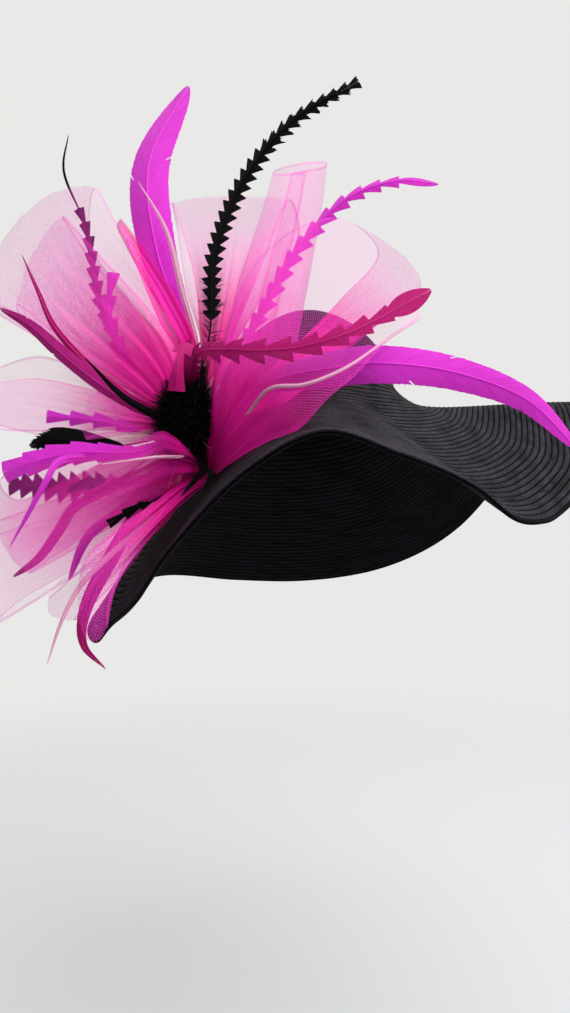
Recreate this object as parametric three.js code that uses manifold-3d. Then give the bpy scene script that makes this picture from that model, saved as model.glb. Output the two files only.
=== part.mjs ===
// A wide-brimmed race day hat of black sewn straw braid, trimmed at the right front with loops of
// magenta crin (horsehair net), cut and stripped feathers, and a black hackle pad.
// Millimetres, +Z up, shown as worn. The origin is the centre of the head opening,
// +X is the wearer's left, and -Y is the way the wearer faces.

import * as THREE from 'three';
import { mergeVertices } from 'three/addons/utils/BufferGeometryUtils.js';
import Module from 'manifold-3d';

const wasm = await Module();
wasm.setup();

// Driving dimensions of the straw
const HEAD_HALF_WIDTH = 78;      // outer half width of the crown where the flare begins
const HEAD_HALF_DEPTH = 95;      // outer half depth there
const HEAD_LINE_RISE = 17.7;     // height of that line above the middle of the opening
const CROWN_RISE = 77;           // from that line to the top of the dome
const CROWN_FULLNESS = 1.65;     // exponent of the dome's round profile
const CROWN_SHIFT = 6;           // how far the top leans towards +X
const TILT_BACK = 9;             // degrees that the worn hat tips backwards
const ROLL = 6;                  // degrees that its +X side is raised
const STRAW_WALL = 2.0;
const HEAD_LINE_GAP = 0.3;       // open seam between the crown and the brim
const FLARE_DROP = 30;           // how far the brim goes on downwards before it turns out
const EDGE_RADIUS = 1.7;         // bound wire round the rim
const EDGE_CLEARANCE = 0.5;
const BELLY_SHARE = 0.42;        // where the brim's belly lies, as a share of its width

// How finely the straw is divided
const CROWN_TOP_STATION = -0.97; // the highest ring below the top of the dome
const CROWN_STEPS = 9;
const BRIM_STEPS = 8;
const BRIM_STEP_EASE = 1.25;     // more of the brim's rings lie near the head line
const STRAW_SIDES = 48;
const STATION_PROBE = 0.01;      // step used to find the straw's slope
const EDGE_STEPS = 72;
const EDGE_SIDES = 5;
const WELD = 1e-4;               // vertices closer than this are one

// The rim's waves: one row for each section of the brim, round from the back.
// azimuth: degrees from the front towards +X; reach: distance from the axis; height: of the rim;
// belly: how far the middle of the section stands above a straight line
const RIM = [
  { azimuth: -180, reach: 219, height: -164, belly: 8 },
  { azimuth: -160, reach: 224, height: -162, belly: 8 },
  { azimuth: -138, reach: 229, height: -153, belly: 8 },
  { azimuth: -118, reach: 212, height: -163, belly: 10 },
  { azimuth: -95, reach: 195, height: -180, belly: 10 },
  { azimuth: -66, reach: 184, height: -183, belly: 6 },
  { azimuth: -44, reach: 198, height: -157, belly: 4 },
  { azimuth: -30, reach: 224, height: -136, belly: 2 },
  { azimuth: -18, reach: 256, height: -97, belly: 0 },
  { azimuth: -8, reach: 276, height: -59, belly: -4 },
  { azimuth: 0, reach: 282, height: -40, belly: -6 },
  { azimuth: 8, reach: 278, height: -50, belly: -6 },
  { azimuth: 18, reach: 268, height: -66, belly: -4 },
  { azimuth: 26, reach: 258, height: -84, belly: -1 },
  { azimuth: 34, reach: 248, height: -86, belly: 2 },
  { azimuth: 42, reach: 238, height: -81, belly: 2 },
  { azimuth: 50, reach: 234, height: -71, belly: 2 },
  { azimuth: 60, reach: 234, height: -53, belly: 3 },
  { azimuth: 72, reach: 230, height: -24, belly: 5 },
  { azimuth: 86, reach: 230, height: 12, belly: 9 },
  { azimuth: 102, reach: 234, height: -3, belly: 8 },
  { azimuth: 118, reach: 235, height: -46, belly: 7 },
  { azimuth: 133, reach: 234, height: -100, belly: 7 },
  { azimuth: 147, reach: 232, height: -134, belly: 7 },
  { azimuth: 161, reach: 223, height: -154, belly: 8 },
];

// Driving dimensions of the trim
const PAD_CENTRE = new THREE.Vector3(-92, -100, -17);
const PAD_HALF_SIDE = 22;        // round the hat
const PAD_HALF_THICK = 17;       // away from the straw
const PAD_HALF_LONG = 34;        // down the slope of the brim
const PAD_AZIMUTH = -42;         // degrees from the front
const PAD_SLOPE = 60;            // degrees that the straw falls there
const PAD_GAP = 0.4;             // between the pad and each root on it
const ROOT_SINK = 0.8;           // share of the pad's radius where a root starts before it is cut
const PAD_SIDES = 14;
const PAD_RINGS = 10;
const LOCK_RADIUS = 4.6;
const LOCK_SIDES = 5;
const LOCK_SINK = 0.6;           // share of the pad's radius where a lock starts
const NET_WALL = 1.0;
const NET_ROOT_WIDTH = 13;       // gathered width of a band at the pad
const NET_ROOT_OPENING = 1.6;    // half the space between a band's two ends
const NET_FULLNESS = 0.8;        // how soon a band spreads from its gather
const NET_STEPS = 14;
const NET_STRIPS = 3;
const ROLL_SIDES = 12;
const QUILL_STEPS = 12;
const QUILL_THICKNESS = 1.4;
const QUILL_ROOT_WIDTH = 2;
const ARROW_STEM = 0.3;          // width of a notched feather at the foot of a tooth, as a share
const ARROW_START = 0.22;        // where its teeth begin, as a share of its length
const ARROW_BARE_END = 0.21;     // where its bare stem ends
const TOOTH_CUT = 0.9;           // share of the pitch over which a tooth widens
const TOOTH_LEAST = 0.6;         // size of the smallest teeth as a share of the largest

// Half width of a whole feather along its length: sin(pi * at ^ peak) ^ fullness
const CUTS = {
  blade: { peak: 1.2, fullness: 0.6 },
  biot: { peak: 0.8, fullness: 0.8 },
};

// The crin loops. Each is a band that leaves the pad, folds over at its far end and comes back.
// root: where on the pad it is gathered, as a direction from the pad's middle;
// viaA and foldA, viaB and foldB: points on the band's two edges, half way out and at the fold;
// opening: half the space between the two layers
const LOOPS = [
  { name: 'net_loop_upper_left', root: [-0.75, 0, 0.7], viaA: [-116, -92, 99], foldA: [-168, -80, 173],
    viaB: [-190, -88, 25], foldB: [-270, -62, 88], opening: 24 },
  { name: 'net_loop_narrow', root: [-0.35, -0.2, 0.85], viaA: [-105, -156, 68], foldA: [-128, -160, 102],
    viaB: [-96, -132, 81], foldB: [-116, -128, 122], opening: 7 },
  { name: 'net_loop_back', root: [-0.1, 0.45, 0.9], viaA: [-99, -60, 89], foldA: [-119, -25, 184],
    viaB: [-64, -75, 84], foldB: [-40, -15, 186], opening: 14 },
  { name: 'net_loop_right', root: [0.75, -0.25, -0.5], viaA: [-33, -92, 80], foldA: [25, -88, 148],
    viaB: [-28, -243, -38], foldB: [74, -150, 51], opening: 12 },
  { name: 'net_loop_left', root: [-0.95, 0.35, 0.35], viaA: [-172, -56, 20], foldA: [-281, -45, 37],
    viaB: [-179, -66, -18], foldB: [-265, -70, -22], opening: 15 },
  { name: 'net_loop_short', root: [-0.8, -0.5, 0.3], viaA: [-129, -150, 4], foldA: [-155, -165, 6],
    viaB: [-131, -158, -28], foldB: [-164, -160, -27], opening: 8 },
  { name: 'net_loop_middle_left', root: [-0.75, -0.35, -0.1], viaA: [-154, -123, -39],
    foldA: [-233, -140, -62], viaB: [-140, -148, -87], foldB: [-222, -175, -126], opening: 13 },
  { name: 'net_loop_lower_left', root: [-0.75, 0, -0.65], viaA: [-158, -113, -73], foldA: [-262, -85, -104],
    viaB: [-147, -130, -116], foldB: [-238, -120, -172], opening: 15 },
  { name: 'net_loop_front', root: [-0.25, -0.3, -0.8], viaA: [-125, -212, -86], foldA: [-141, -215, -141],
    viaB: [-95, -236, -99], foldB: [-120, -225, -147], opening: 12 },
  { name: 'net_loop_hem', root: [-0.6, 0.1, -0.85], viaA: [-181, -73, -108], foldA: [-198, -103, -142],
    viaB: [-161, -85, -150], foldB: [-169, -120, -167], opening: 6 },
];

// The tall rolled loop: a row for each ring of its funnel, from the gather upwards
const ROLL_RINGS = [
  { x: -78, y: -108, z: 0, halfWidth: 4.5, halfDepth: 3.5 },
  { x: -76, y: -126, z: 10, halfWidth: 6, halfDepth: 5 },
  { x: -70, y: -146, z: 22, halfWidth: 12, halfDepth: 8 },
  { x: -52, y: -164, z: 45, halfWidth: 20, halfDepth: 12 },
  { x: -36, y: -165, z: 75, halfWidth: 25, halfDepth: 14 },
  { x: -15, y: -151, z: 125, halfWidth: 23, halfDepth: 15 },
  { x: -7, y: -136, z: 166, halfWidth: 20, halfDepth: 15 },
];

// The black hackle's longest locks, by their points
const LOCK_TIPS = [
  [-103, -135, 11], [-112, -145, -25], [-84, -145, -67], [-76, -125, 33], [-68, -145, 6],
  [-90, -145, -53], [-74, -145, -53], [-96, -135, -42], [-91, -125, 24], [-71, -145, -4],
];

const PALETTE = {
  straw: { color: 0x2d2b2d, roughness: 0.8, metalness: 0 },
  net: { color: 0xe03cbe, roughness: 0.5, metalness: 0 },
  black: { color: 0x0c0b0d, roughness: 0.75, metalness: 0 },
  magenta: { color: 0xe61ed7, roughness: 0.6, metalness: 0 },
  wine: { color: 0xbe0082, roughness: 0.6, metalness: 0 },
  pink: { color: 0xf7a0be, roughness: 0.6, metalness: 0 },
};

// The feathers: one row for each. width: across the widest part; teeth: notches down each side;
// path: from just off the pad to the tip.
// cut: 'blade' is a whole feather, 'biot' a narrow tapered one, 'arrow' is notched like arrowheads
const FEATHERS = [
  { name: 'quill_black_spine', cut: 'arrow', color: 'black', width: 15, teeth: 17,
    path: [[-75, -100, 55], [-73, -90, 115], [-50, -85, 175], [-13, -90, 217], [37, -100, 242]] },
  { name: 'quill_upper_right', cut: 'arrow', color: 'magenta', width: 16, teeth: 13,
    path: [[-63, -82, 28], [-37, -68, 78], [-7, -62, 131], [33, -66, 169],
      [71, -75, 178], [101, -80, 173]] },
  { name: 'quill_across', cut: 'arrow', color: 'wine', width: 15, teeth: 12,
    path: [[-78, -195, 5], [-60, -216, 15], [-32, -224, 14], [2, -222, 18],
      [35, -215, 33], [69, -210, 52]] },
  { name: 'quill_drooping', cut: 'arrow', color: 'wine', width: 12, teeth: 4,
    path: [[-89, -150, 5], [-94, -162, 16], [-90, -172, -5]] },
  { name: 'coque_upright', cut: 'blade', color: 'magenta', width: 30,
    path: [[-85, -167, 35], [-102, -175, 88], [-110, -160, 151], [-87, -135, 218]] },
  { name: 'biot_pink_upright', cut: 'biot', color: 'pink', width: 6,
    path: [[-77, -168, 28], [-85, -182, 61], [-94, -184, 97], [-114, -175, 133]] },
  { name: 'coque_long_right', cut: 'blade', color: 'magenta', width: 20,
    path: [[-48, -225, -11], [-11, -247, -6], [34, -240, 3], [80, -225, 1],
      [123, -220, -15], [148, -235, -46]] },
  { name: 'biot_pink_right', cut: 'biot', color: 'pink', width: 8,
    path: [[-52, -230, -32], [-31, -255, -20], [-7, -255, -12], [30, -243, 8], [60, -225, 31]] },
  { name: 'biot_wine_left', cut: 'biot', color: 'wine', width: 8,
    path: [[-120, -198, -7], [-140, -198, 9], [-162, -198, 34], [-172, -195, 55], [-184, -190, 80]] },
  { name: 'coque_left', cut: 'blade', color: 'magenta', width: 15,
    path: [[-113, -205, -15], [-132, -207, -3], [-156, -203, 16], [-178, -195, 35],
      [-200, -185, 48]] },
  { name: 'biot_black_left', cut: 'biot', color: 'black', width: 9,
    path: [[-99, -207, -22], [-117, -210, -11], [-136, -220, 9]] },
  { name: 'coque_black', cut: 'blade', color: 'black', width: 20,
    path: [[-134, -140, -36], [-161, -142, -32], [-196, -140, -34]] },
  { name: 'quill_flat_left', cut: 'arrow', color: 'magenta', width: 18, teeth: 9,
    path: [[-107, -206, -42], [-131, -207, -47], [-154, -210, -48], [-172, -210, -53],
      [-191, -207, -63]] },
  { name: 'quill_black_left', cut: 'arrow', color: 'black', width: 20, teeth: 11,
    path: [[-111, -110, -59], [-150, -115, -64], [-192, -110, -64], [-227, -100, -63]] },
  { name: 'biot_magenta_left', cut: 'biot', color: 'magenta', width: 7,
    path: [[-105, -254, -65], [-126, -257, -62], [-140, -263, -61], [-152, -263, -71],
      [-161, -261, -86], [-167, -255, -100]] },
  { name: 'quill_short_left', cut: 'arrow', color: 'magenta', width: 12, teeth: 4,
    path: [[-125, -113, -21], [-154, -113, -15], [-196, -107, -11]] },
  { name: 'coque_wine_lower', cut: 'blade', color: 'wine', width: 14,
    path: [[-143, -65, -67], [-182, -82, -85], [-207, -75, -111], [-237, -65, -135]] },
  { name: 'quill_black_short', cut: 'arrow', color: 'black', width: 14, teeth: 3,
    path: [[-91, -200, -63], [-101, -226, -74], [-117, -236, -87]] },
  { name: 'biot_wine_lower', cut: 'biot', color: 'wine', width: 11,
    path: [[-138, -128, -105], [-155, -155, -151], [-155, -155, -172], [-140, -155, -188]] },
  { name: 'biot_pink_lower', cut: 'biot', color: 'pink', width: 7,
    path: [[-98, -250, -81], [-117, -260, -106], [-132, -260, -128], [-142, -258, -144],
      [-148, -255, -163]] },
  { name: 'coque_lower', cut: 'blade', color: 'magenta', width: 10,
    path: [[-135, -113, -77], [-162, -118, -100], [-177, -115, -132]] },
  { name: 'biot_black_right', cut: 'biot', color: 'black', width: 7,
    path: [[-70, -195, -55], [-73, -210, -62], [-80, -220, -72]] },
  { name: 'biot_pink_left', cut: 'biot', color: 'pink', width: 6,
    path: [[-80, -195, -44], [-100, -210, -49], [-127, -217, -54]] },
  { name: 'quill_black_upper', cut: 'arrow', color: 'black', width: 13, teeth: 13,
    path: [[-136, -60, 20], [-153, -48, 51], [-174, -38, 95], [-189, -26, 161],
      [-210, -18, 213], [-207, -14, 245]] },
  { name: 'quill_upper_left', cut: 'arrow', color: 'magenta', width: 14, teeth: 6,
    path: [[-136, -67, 24], [-153, -65, 52], [-161, -61, 81], [-158, -57, 112]] },
];

function smoothPeriodic(rows, column) {
  // A smooth closed curve through one column of the rim's table, by azimuth
  const count = rows.length;
  const at = (i) => rows[((i % count) + count) % count][column];
  const azimuthAt = (i) => rows[((i % count) + count) % count].azimuth + 360 * Math.floor(i / count);
  return (azimuth) => {
    let turned = azimuth;
    while (turned < azimuthAt(0)) turned += 360;
    while (turned >= azimuthAt(count)) turned -= 360;
    let row = 0;
    while (turned >= azimuthAt(row + 1)) row += 1;
    const [a0, a1, a2, a3] = [-1, 0, 1, 2].map((step) => azimuthAt(row + step));
    const [v0, v1, v2, v3] = [-1, 0, 1, 2].map((step) => at(row + step));
    const span = a2 - a1;
    const slope1 = (v2 - v0) / (a2 - a0) * span;
    const slope2 = (v3 - v1) / (a3 - a1) * span;
    const t = (turned - a1) / span;
    const t2 = t * t;
    const t3 = t2 * t;
    return (2 * t3 - 3 * t2 + 1) * v1 + (t3 - 2 * t2 + t) * slope1
      + (3 * t2 - 2 * t3) * v2 + (t3 - t2) * slope2;
  };
}

const rimReach = smoothPeriodic(RIM, 'reach');
const rimHeight = smoothPeriodic(RIM, 'height');
const rimBelly = smoothPeriodic(RIM, 'belly');

const WORN = new THREE.Matrix4().makeRotationX(-THREE.MathUtils.degToRad(TILT_BACK))
  .multiply(new THREE.Matrix4().makeRotationY(-THREE.MathUtils.degToRad(ROLL)));

function crownPoint(azimuth, climb) {
  // climb: 0 on the head line, 1 at the top of the dome
  const angle = climb * Math.PI / 2;
  const half = Math.pow(Math.cos(angle), 2 / CROWN_FULLNESS);
  const rise = Math.pow(Math.sin(angle), 2 / CROWN_FULLNESS);
  const turn = THREE.MathUtils.degToRad(azimuth);
  return new THREE.Vector3(
    HEAD_HALF_WIDTH * half * Math.sin(turn) + CROWN_SHIFT * rise,
    -HEAD_HALF_DEPTH * half * Math.cos(turn),
    HEAD_LINE_RISE + CROWN_RISE * rise,
  ).applyMatrix4(WORN);
}

function brimPoint(azimuth, spread) {
  // spread: 0 on the head line, 1 at the rim
  const start = crownPoint(azimuth, 0);
  const down = new THREE.Vector3(0, 0, -FLARE_DROP).applyMatrix4(WORN).add(start);
  const turn = THREE.MathUtils.degToRad(azimuth);
  const reach = rimReach(azimuth);
  const rim = new THREE.Vector3(reach * Math.sin(turn), -reach * Math.cos(turn), rimHeight(azimuth));
  const middle = new THREE.Vector3().lerpVectors(down, rim, BELLY_SHARE);
  middle.z += rimBelly(azimuth);
  return new THREE.CubicBezierCurve3(start, down, middle, rim).getPoint(spread);
}

function strawPoint(azimuth, station) {
  // station: -1 at the top of the crown, 0 on the head line, 1 at the rim
  return station < 0 ? crownPoint(azimuth, -station) : brimPoint(azimuth, station);
}

function strawNormal(azimuth, station) {
  const around = strawPoint(azimuth + 1, station).sub(strawPoint(azimuth - 1, station));
  const down = strawPoint(azimuth, Math.min(station + STATION_PROBE, 1))
    .sub(strawPoint(azimuth, station - STATION_PROBE));
  return down.cross(around).normalize();
}

function strawShell(stations, top) {
  // A wall of even thickness through rings at the given stations, closed at the top if one is given
  const rings = stations.length;
  const outer = [];
  const inner = [];
  for (const station of stations) {
    for (let side = 0; side < STRAW_SIDES; side += 1) {
      const azimuth = 360 * side / STRAW_SIDES;
      const point = strawPoint(azimuth, station);
      outer.push(point);
      inner.push(point.clone().addScaledVector(strawNormal(azimuth, station), -STRAW_WALL));
    }
  }
  const vertices = [...outer, ...inner];
  const shift = outer.length;
  const at = (ring, side) => ring * STRAW_SIDES + (side % STRAW_SIDES);
  const triangles = [];
  for (let side = 0; side < STRAW_SIDES; side += 1) {
    for (let ring = 0; ring + 1 < rings; ring += 1) {
      const [a, b, c, d] = [at(ring, side), at(ring, side + 1), at(ring + 1, side + 1), at(ring + 1, side)];
      triangles.push(a, c, b, a, d, c);
      triangles.push(shift + a, shift + b, shift + c, shift + a, shift + c, shift + d);
    }
    const [low, lowNext] = [at(rings - 1, side), at(rings - 1, side + 1)];
    triangles.push(low, shift + lowNext, lowNext, low, shift + low, shift + lowNext);
    const [high, highNext] = [at(0, side), at(0, side + 1)];
    if (top) {
      triangles.push(high, highNext, 2 * shift);
      triangles.push(shift + highNext, shift + high, 2 * shift + 1);
    } else {
      triangles.push(high, highNext, shift + highNext, high, shift + highNext, shift + high);
    }
  }
  if (top) vertices.push(top.clone(), top.clone().sub(new THREE.Vector3(0, 0, STRAW_WALL)));
  return geometryFrom(vertices, triangles);
}

function geometryFrom(vertices, triangles) {
  const geometry = new THREE.BufferGeometry();
  const numbers = vertices.flatMap((vertex) => [vertex.x, vertex.y, vertex.z]);
  geometry.setAttribute('position', new THREE.Float32BufferAttribute(numbers, 3));
  geometry.setIndex(triangles);
  return geometry;
}

function addMesh(group, name, geometry, finish) {
  const mesh = new THREE.Mesh(geometry, new THREE.MeshStandardMaterial(PALETTE[finish]));
  mesh.name = name;
  group.add(mesh);
  return mesh;
}

function solidFrom(geometry) {
  const bare = new THREE.BufferGeometry();
  bare.setAttribute('position', geometry.getAttribute('position').clone());
  if (geometry.index) bare.setIndex(geometry.index.clone());
  const merged = mergeVertices(bare, WELD);
  return new wasm.Manifold(new wasm.Mesh({
    numProp: 3,
    vertProperties: new Float32Array(merged.getAttribute('position').array),
    triVerts: new Uint32Array(merged.index.array),
  }));
}

function geometryFromSolid(solid) {
  const mesh = solid.getMesh();
  const geometry = new THREE.BufferGeometry();
  geometry.setAttribute('position', new THREE.BufferAttribute(mesh.vertProperties, 3));
  geometry.setIndex(new THREE.BufferAttribute(mesh.triVerts, 1));
  return geometry;
}

// The pad's own axes: along the rim, away from the straw, and down the slope
const padTurn = THREE.MathUtils.degToRad(PAD_AZIMUTH);
const padFall = THREE.MathUtils.degToRad(PAD_SLOPE);
const padRadial = new THREE.Vector3(Math.sin(padTurn), -Math.cos(padTurn), 0);
const padAxisOut = padRadial.clone().multiplyScalar(Math.sin(padFall)).setZ(Math.cos(padFall));
const padAxisDown = padRadial.clone().multiplyScalar(Math.cos(padFall)).setZ(-Math.sin(padFall));
const padAxisSide = new THREE.Vector3().crossVectors(padAxisOut, padAxisDown);

function padPoint(direction, share) {
  // The point in a direction from the pad's middle, at a share of the way to its surface
  const unit = direction.clone().normalize();
  const reach = 1 / Math.hypot(unit.dot(padAxisSide) / PAD_HALF_SIDE,
    unit.dot(padAxisOut) / PAD_HALF_THICK, unit.dot(padAxisDown) / PAD_HALF_LONG);
  return PAD_CENTRE.clone().addScaledVector(unit, reach * share);
}

function padBall(margin) {
  const ball = new THREE.SphereGeometry(1, PAD_SIDES, PAD_RINGS);
  ball.applyMatrix4(new THREE.Matrix4().makeBasis(
    padAxisSide.clone().multiplyScalar(PAD_HALF_SIDE + margin),
    padAxisOut.clone().multiplyScalar(PAD_HALF_THICK + margin),
    padAxisDown.clone().multiplyScalar(PAD_HALF_LONG + margin),
  ).setPosition(PAD_CENTRE));
  return solidFrom(ball);
}

const padClearance = padBall(PAD_GAP);

function seatOnPad(geometry) {
  // Cuts a root off where it meets the pad, leaving a small gap
  return geometryFromSolid(solidFrom(geometry).subtract(padClearance));
}

function padGeometry() {
  let pad = padBall(0);
  for (const tip of LOCK_TIPS) {
    const point = new THREE.Vector3(...tip);
    const start = padPoint(point.clone().sub(PAD_CENTRE), LOCK_SINK);
    const length = point.distanceTo(start);
    const lock = new THREE.ConeGeometry(LOCK_RADIUS, length, LOCK_SIDES);
    lock.translate(0, length / 2, 0);
    lock.applyQuaternion(new THREE.Quaternion().setFromUnitVectors(
      new THREE.Vector3(0, 1, 0), point.clone().sub(start).normalize()));
    lock.translate(start.x, start.y, start.z);
    pad = pad.add(solidFrom(lock));
  }
  return geometryFromSolid(pad);
}

function edgeCurve(root, via, fold) {
  // A smooth curve from the root through a point half way out to the fold
  const control = via.clone().multiplyScalar(2).addScaledVector(root, -0.5).addScaledVector(fold, -0.5);
  return new THREE.QuadraticBezierCurve3(root, control, fold);
}

function sheetGeometry(grid, wall) {
  // A thin closed body from a grid of points on its middle surface, thickened both ways
  const [steps, strips] = [grid.length, grid[0].length];
  const normals = grid.map((line, i) => line.map((point, j) => {
    const along = grid[Math.min(i + 1, steps - 1)][j].clone().sub(grid[Math.max(i - 1, 0)][j]);
    const across = line[Math.min(j + 1, strips - 1)].clone().sub(line[Math.max(j - 1, 0)]);
    return along.cross(across).normalize();
  }));
  const face = (side) => grid.flatMap((line, i) => line.map((point, j) => (
    point.clone().addScaledVector(normals[i][j], side * wall / 2))));
  const vertices = [...face(1), ...face(-1)];
  const shift = steps * strips;
  const triangles = [];
  const quad = (a, b, c, d) => triangles.push(a, b, c, a, c, d);
  for (let i = 0; i + 1 < steps; i += 1) {
    for (let j = 0; j + 1 < strips; j += 1) {
      const [a, b] = [i * strips + j, (i + 1) * strips + j];
      const [c, d] = [b + 1, a + 1];
      quad(a, b, c, d);
      quad(shift + a, shift + d, shift + c, shift + b);
    }
    const [near, nearNext] = [i * strips, (i + 1) * strips];
    quad(near, shift + near, shift + nearNext, nearNext);
    const [far, farNext] = [near + strips - 1, nearNext + strips - 1];
    quad(far, farNext, shift + farNext, shift + far);
  }
  for (let j = 0; j + 1 < strips; j += 1) {
    quad(j, j + 1, shift + j + 1, shift + j);
    const last = (steps - 1) * strips + j;
    quad(last, shift + last, shift + last + 1, last + 1);
  }
  return geometryFrom(vertices, triangles);
}

function loopGeometry({ root, viaA, foldA, viaB, foldB, opening }) {
  const gather = padPoint(new THREE.Vector3(...root), ROOT_SINK);
  const [farA, farB] = [new THREE.Vector3(...foldA), new THREE.Vector3(...foldB)];
  const out = farA.clone().lerp(farB, 0.5).sub(gather);
  const across = farA.clone().sub(farB);
  const deep = new THREE.Vector3().crossVectors(out, across).normalize();
  const spread = new THREE.Vector3().crossVectors(deep, out).normalize().multiplyScalar(NET_ROOT_WIDTH / 2);
  if (spread.dot(across) < 0) spread.negate();
  const edgeA = edgeCurve(gather.clone().add(spread), new THREE.Vector3(...viaA), farA);
  const edgeB = edgeCurve(gather.clone().sub(spread), new THREE.Vector3(...viaB), farB);
  const grid = [];
  for (let step = 0; step <= NET_STEPS; step += 1) {
    const share = step / NET_STEPS;
    const reach = Math.pow(4 * share * (1 - share), NET_FULLNESS);
    const depth = opening * Math.sin(2 * Math.PI * share) + NET_ROOT_OPENING * Math.cos(Math.PI * share);
    grid.push(Array.from({ length: NET_STRIPS + 1 }, (_, strip) => (
      edgeA.getPoint(reach).lerp(edgeB.getPoint(reach), strip / NET_STRIPS).addScaledVector(deep, depth))));
  }
  return sheetGeometry(grid, NET_WALL);
}

function rolledLoopGeometry() {
  const rings = ROLL_RINGS.length;
  const vertices = [];
  for (const inset of [0, NET_WALL]) {
    for (const ring of ROLL_RINGS) {
      for (let side = 0; side < ROLL_SIDES; side += 1) {
        const turn = 2 * Math.PI * side / ROLL_SIDES;
        vertices.push(new THREE.Vector3(ring.x + (ring.halfWidth - inset) * Math.cos(turn),
          ring.y + (ring.halfDepth - inset) * Math.sin(turn), ring.z));
      }
    }
  }
  const shift = rings * ROLL_SIDES;
  const triangles = [];
  const quad = (a, b, c, d) => triangles.push(a, b, c, a, c, d);
  for (let side = 0; side < ROLL_SIDES; side += 1) {
    const next = (side + 1) % ROLL_SIDES;
    for (let ring = 0; ring + 1 < rings; ring += 1) {
      const [low, high] = [ring * ROLL_SIDES, (ring + 1) * ROLL_SIDES];
      quad(low + side, low + next, high + next, high + side);
      quad(shift + low + side, shift + high + side, shift + high + next, shift + low + next);
    }
    quad(side, shift + side, shift + next, next);
    const top = (rings - 1) * ROLL_SIDES;
    quad(top + side, top + next, shift + top + next, shift + top + side);
  }
  return geometryFrom(vertices, triangles);
}

function arrowSections({ width, teeth }) {
  // Each tooth widens towards the tip and is then cut back square to the stem
  const bare = QUILL_ROOT_WIDTH / 2;
  const sections = [{ at: 0, half: bare }, { at: ARROW_BARE_END, half: bare }];
  const pitch = (1 - ARROW_START) / teeth;
  for (let tooth = 0; tooth < teeth; tooth += 1) {
    const start = ARROW_START + pitch * tooth;
    const swell = THREE.MathUtils.lerp(TOOTH_LEAST, 1, Math.sin(Math.PI * (1 + 3 * tooth / teeth) / 4));
    sections.push({ at: start, half: width / 2 * ARROW_STEM * swell });
    sections.push({ at: start + pitch * TOOTH_CUT, half: width / 2 * swell });
  }
  return sections.slice(0, -1);
}

function featherSections(feather) {
  // The stations along a feather and its half width at each, as shares of its length and width
  if (feather.cut === 'arrow') return arrowSections(feather);
  const { peak, fullness } = CUTS[feather.cut];
  const sections = [];
  for (let step = 0; step < QUILL_STEPS; step += 1) {
    const at = step / QUILL_STEPS;
    const profile = Math.pow(Math.sin(Math.PI * Math.pow(at, peak)), fullness);
    sections.push({ at, half: Math.max(QUILL_ROOT_WIDTH / 2, feather.width / 2 * profile) });
  }
  return sections;
}

function featherGeometry(feather) {
  const points = feather.path.map((point) => new THREE.Vector3(...point));
  const root = padPoint(points[0].clone().sub(PAD_CENTRE), ROOT_SINK);
  const curve = new THREE.CatmullRomCurve3([root, ...points], false, 'centripetal');
  const facing = new THREE.Vector3(0, -1, 0);
  const vertices = [];
  const triangles = [];
  const sections = featherSections(feather);
  for (const { at, half } of sections) {
    const middle = curve.getPointAt(at);
    const along = curve.getTangentAt(at);
    const side = new THREE.Vector3().crossVectors(along, facing).normalize();
    const normal = new THREE.Vector3().crossVectors(side, along);
    for (const [axis, offset] of [[side, half], [normal, QUILL_THICKNESS / 2]]) {
      vertices.push(middle.clone().addScaledVector(axis, offset));
    }
    for (const [axis, offset] of [[side, half], [normal, QUILL_THICKNESS / 2]]) {
      vertices.push(middle.clone().addScaledVector(axis, -offset));
    }
  }
  const tip = vertices.length;
  vertices.push(curve.getPoint(1));
  const count = sections.length;
  for (let section = 0; section + 1 < count; section += 1) {
    for (let corner = 0; corner < 4; corner += 1) {
      const [a, b] = [section * 4 + corner, section * 4 + (corner + 1) % 4];
      triangles.push(a, b + 4, b, a, a + 4, b + 4);
    }
  }
  triangles.push(0, 1, 2, 0, 2, 3);
  for (let corner = 0; corner < 4; corner += 1) {
    triangles.push((count - 1) * 4 + corner, tip, (count - 1) * 4 + (corner + 1) % 4);
  }
  return geometryFrom(vertices, triangles);
}

const group = new THREE.Group();

function buildStraw() {
  const seam = -HEAD_LINE_GAP / CROWN_RISE;
  const crownStations = Array.from({ length: CROWN_STEPS }, (_, step) => (
    THREE.MathUtils.lerp(CROWN_TOP_STATION, seam, step / (CROWN_STEPS - 1))));
  addMesh(group, 'straw_crown', strawShell(crownStations, crownPoint(0, 1)), 'straw');
  const brimStations = Array.from({ length: BRIM_STEPS }, (_, step) => (
    Math.pow(step / (BRIM_STEPS - 1), BRIM_STEP_EASE)));
  addMesh(group, 'straw_brim', strawShell(brimStations, null), 'straw');
}

function buildEdge() {
  const rim = Array.from({ length: STRAW_SIDES }, (_, side) => {
    const azimuth = 360 * side / STRAW_SIDES;
    const outwards = strawPoint(azimuth, 1).sub(strawPoint(azimuth, 1 - STATION_PROBE)).normalize();
    return strawPoint(azimuth, 1)
      .addScaledVector(strawNormal(azimuth, 1), -STRAW_WALL / 2)
      .addScaledVector(outwards, EDGE_RADIUS + EDGE_CLEARANCE);
  });
  const section = new THREE.Shape();
  section.absarc(0, 0, EDGE_RADIUS, 0, 2 * Math.PI);
  addMesh(group, 'brim_edge', new THREE.ExtrudeGeometry(section, {
    steps: EDGE_STEPS,
    curveSegments: EDGE_SIDES,
    bevelEnabled: false,
    extrudePath: new THREE.CatmullRomCurve3(rim, true, 'centripetal'),
  }), 'straw');
}

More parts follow.
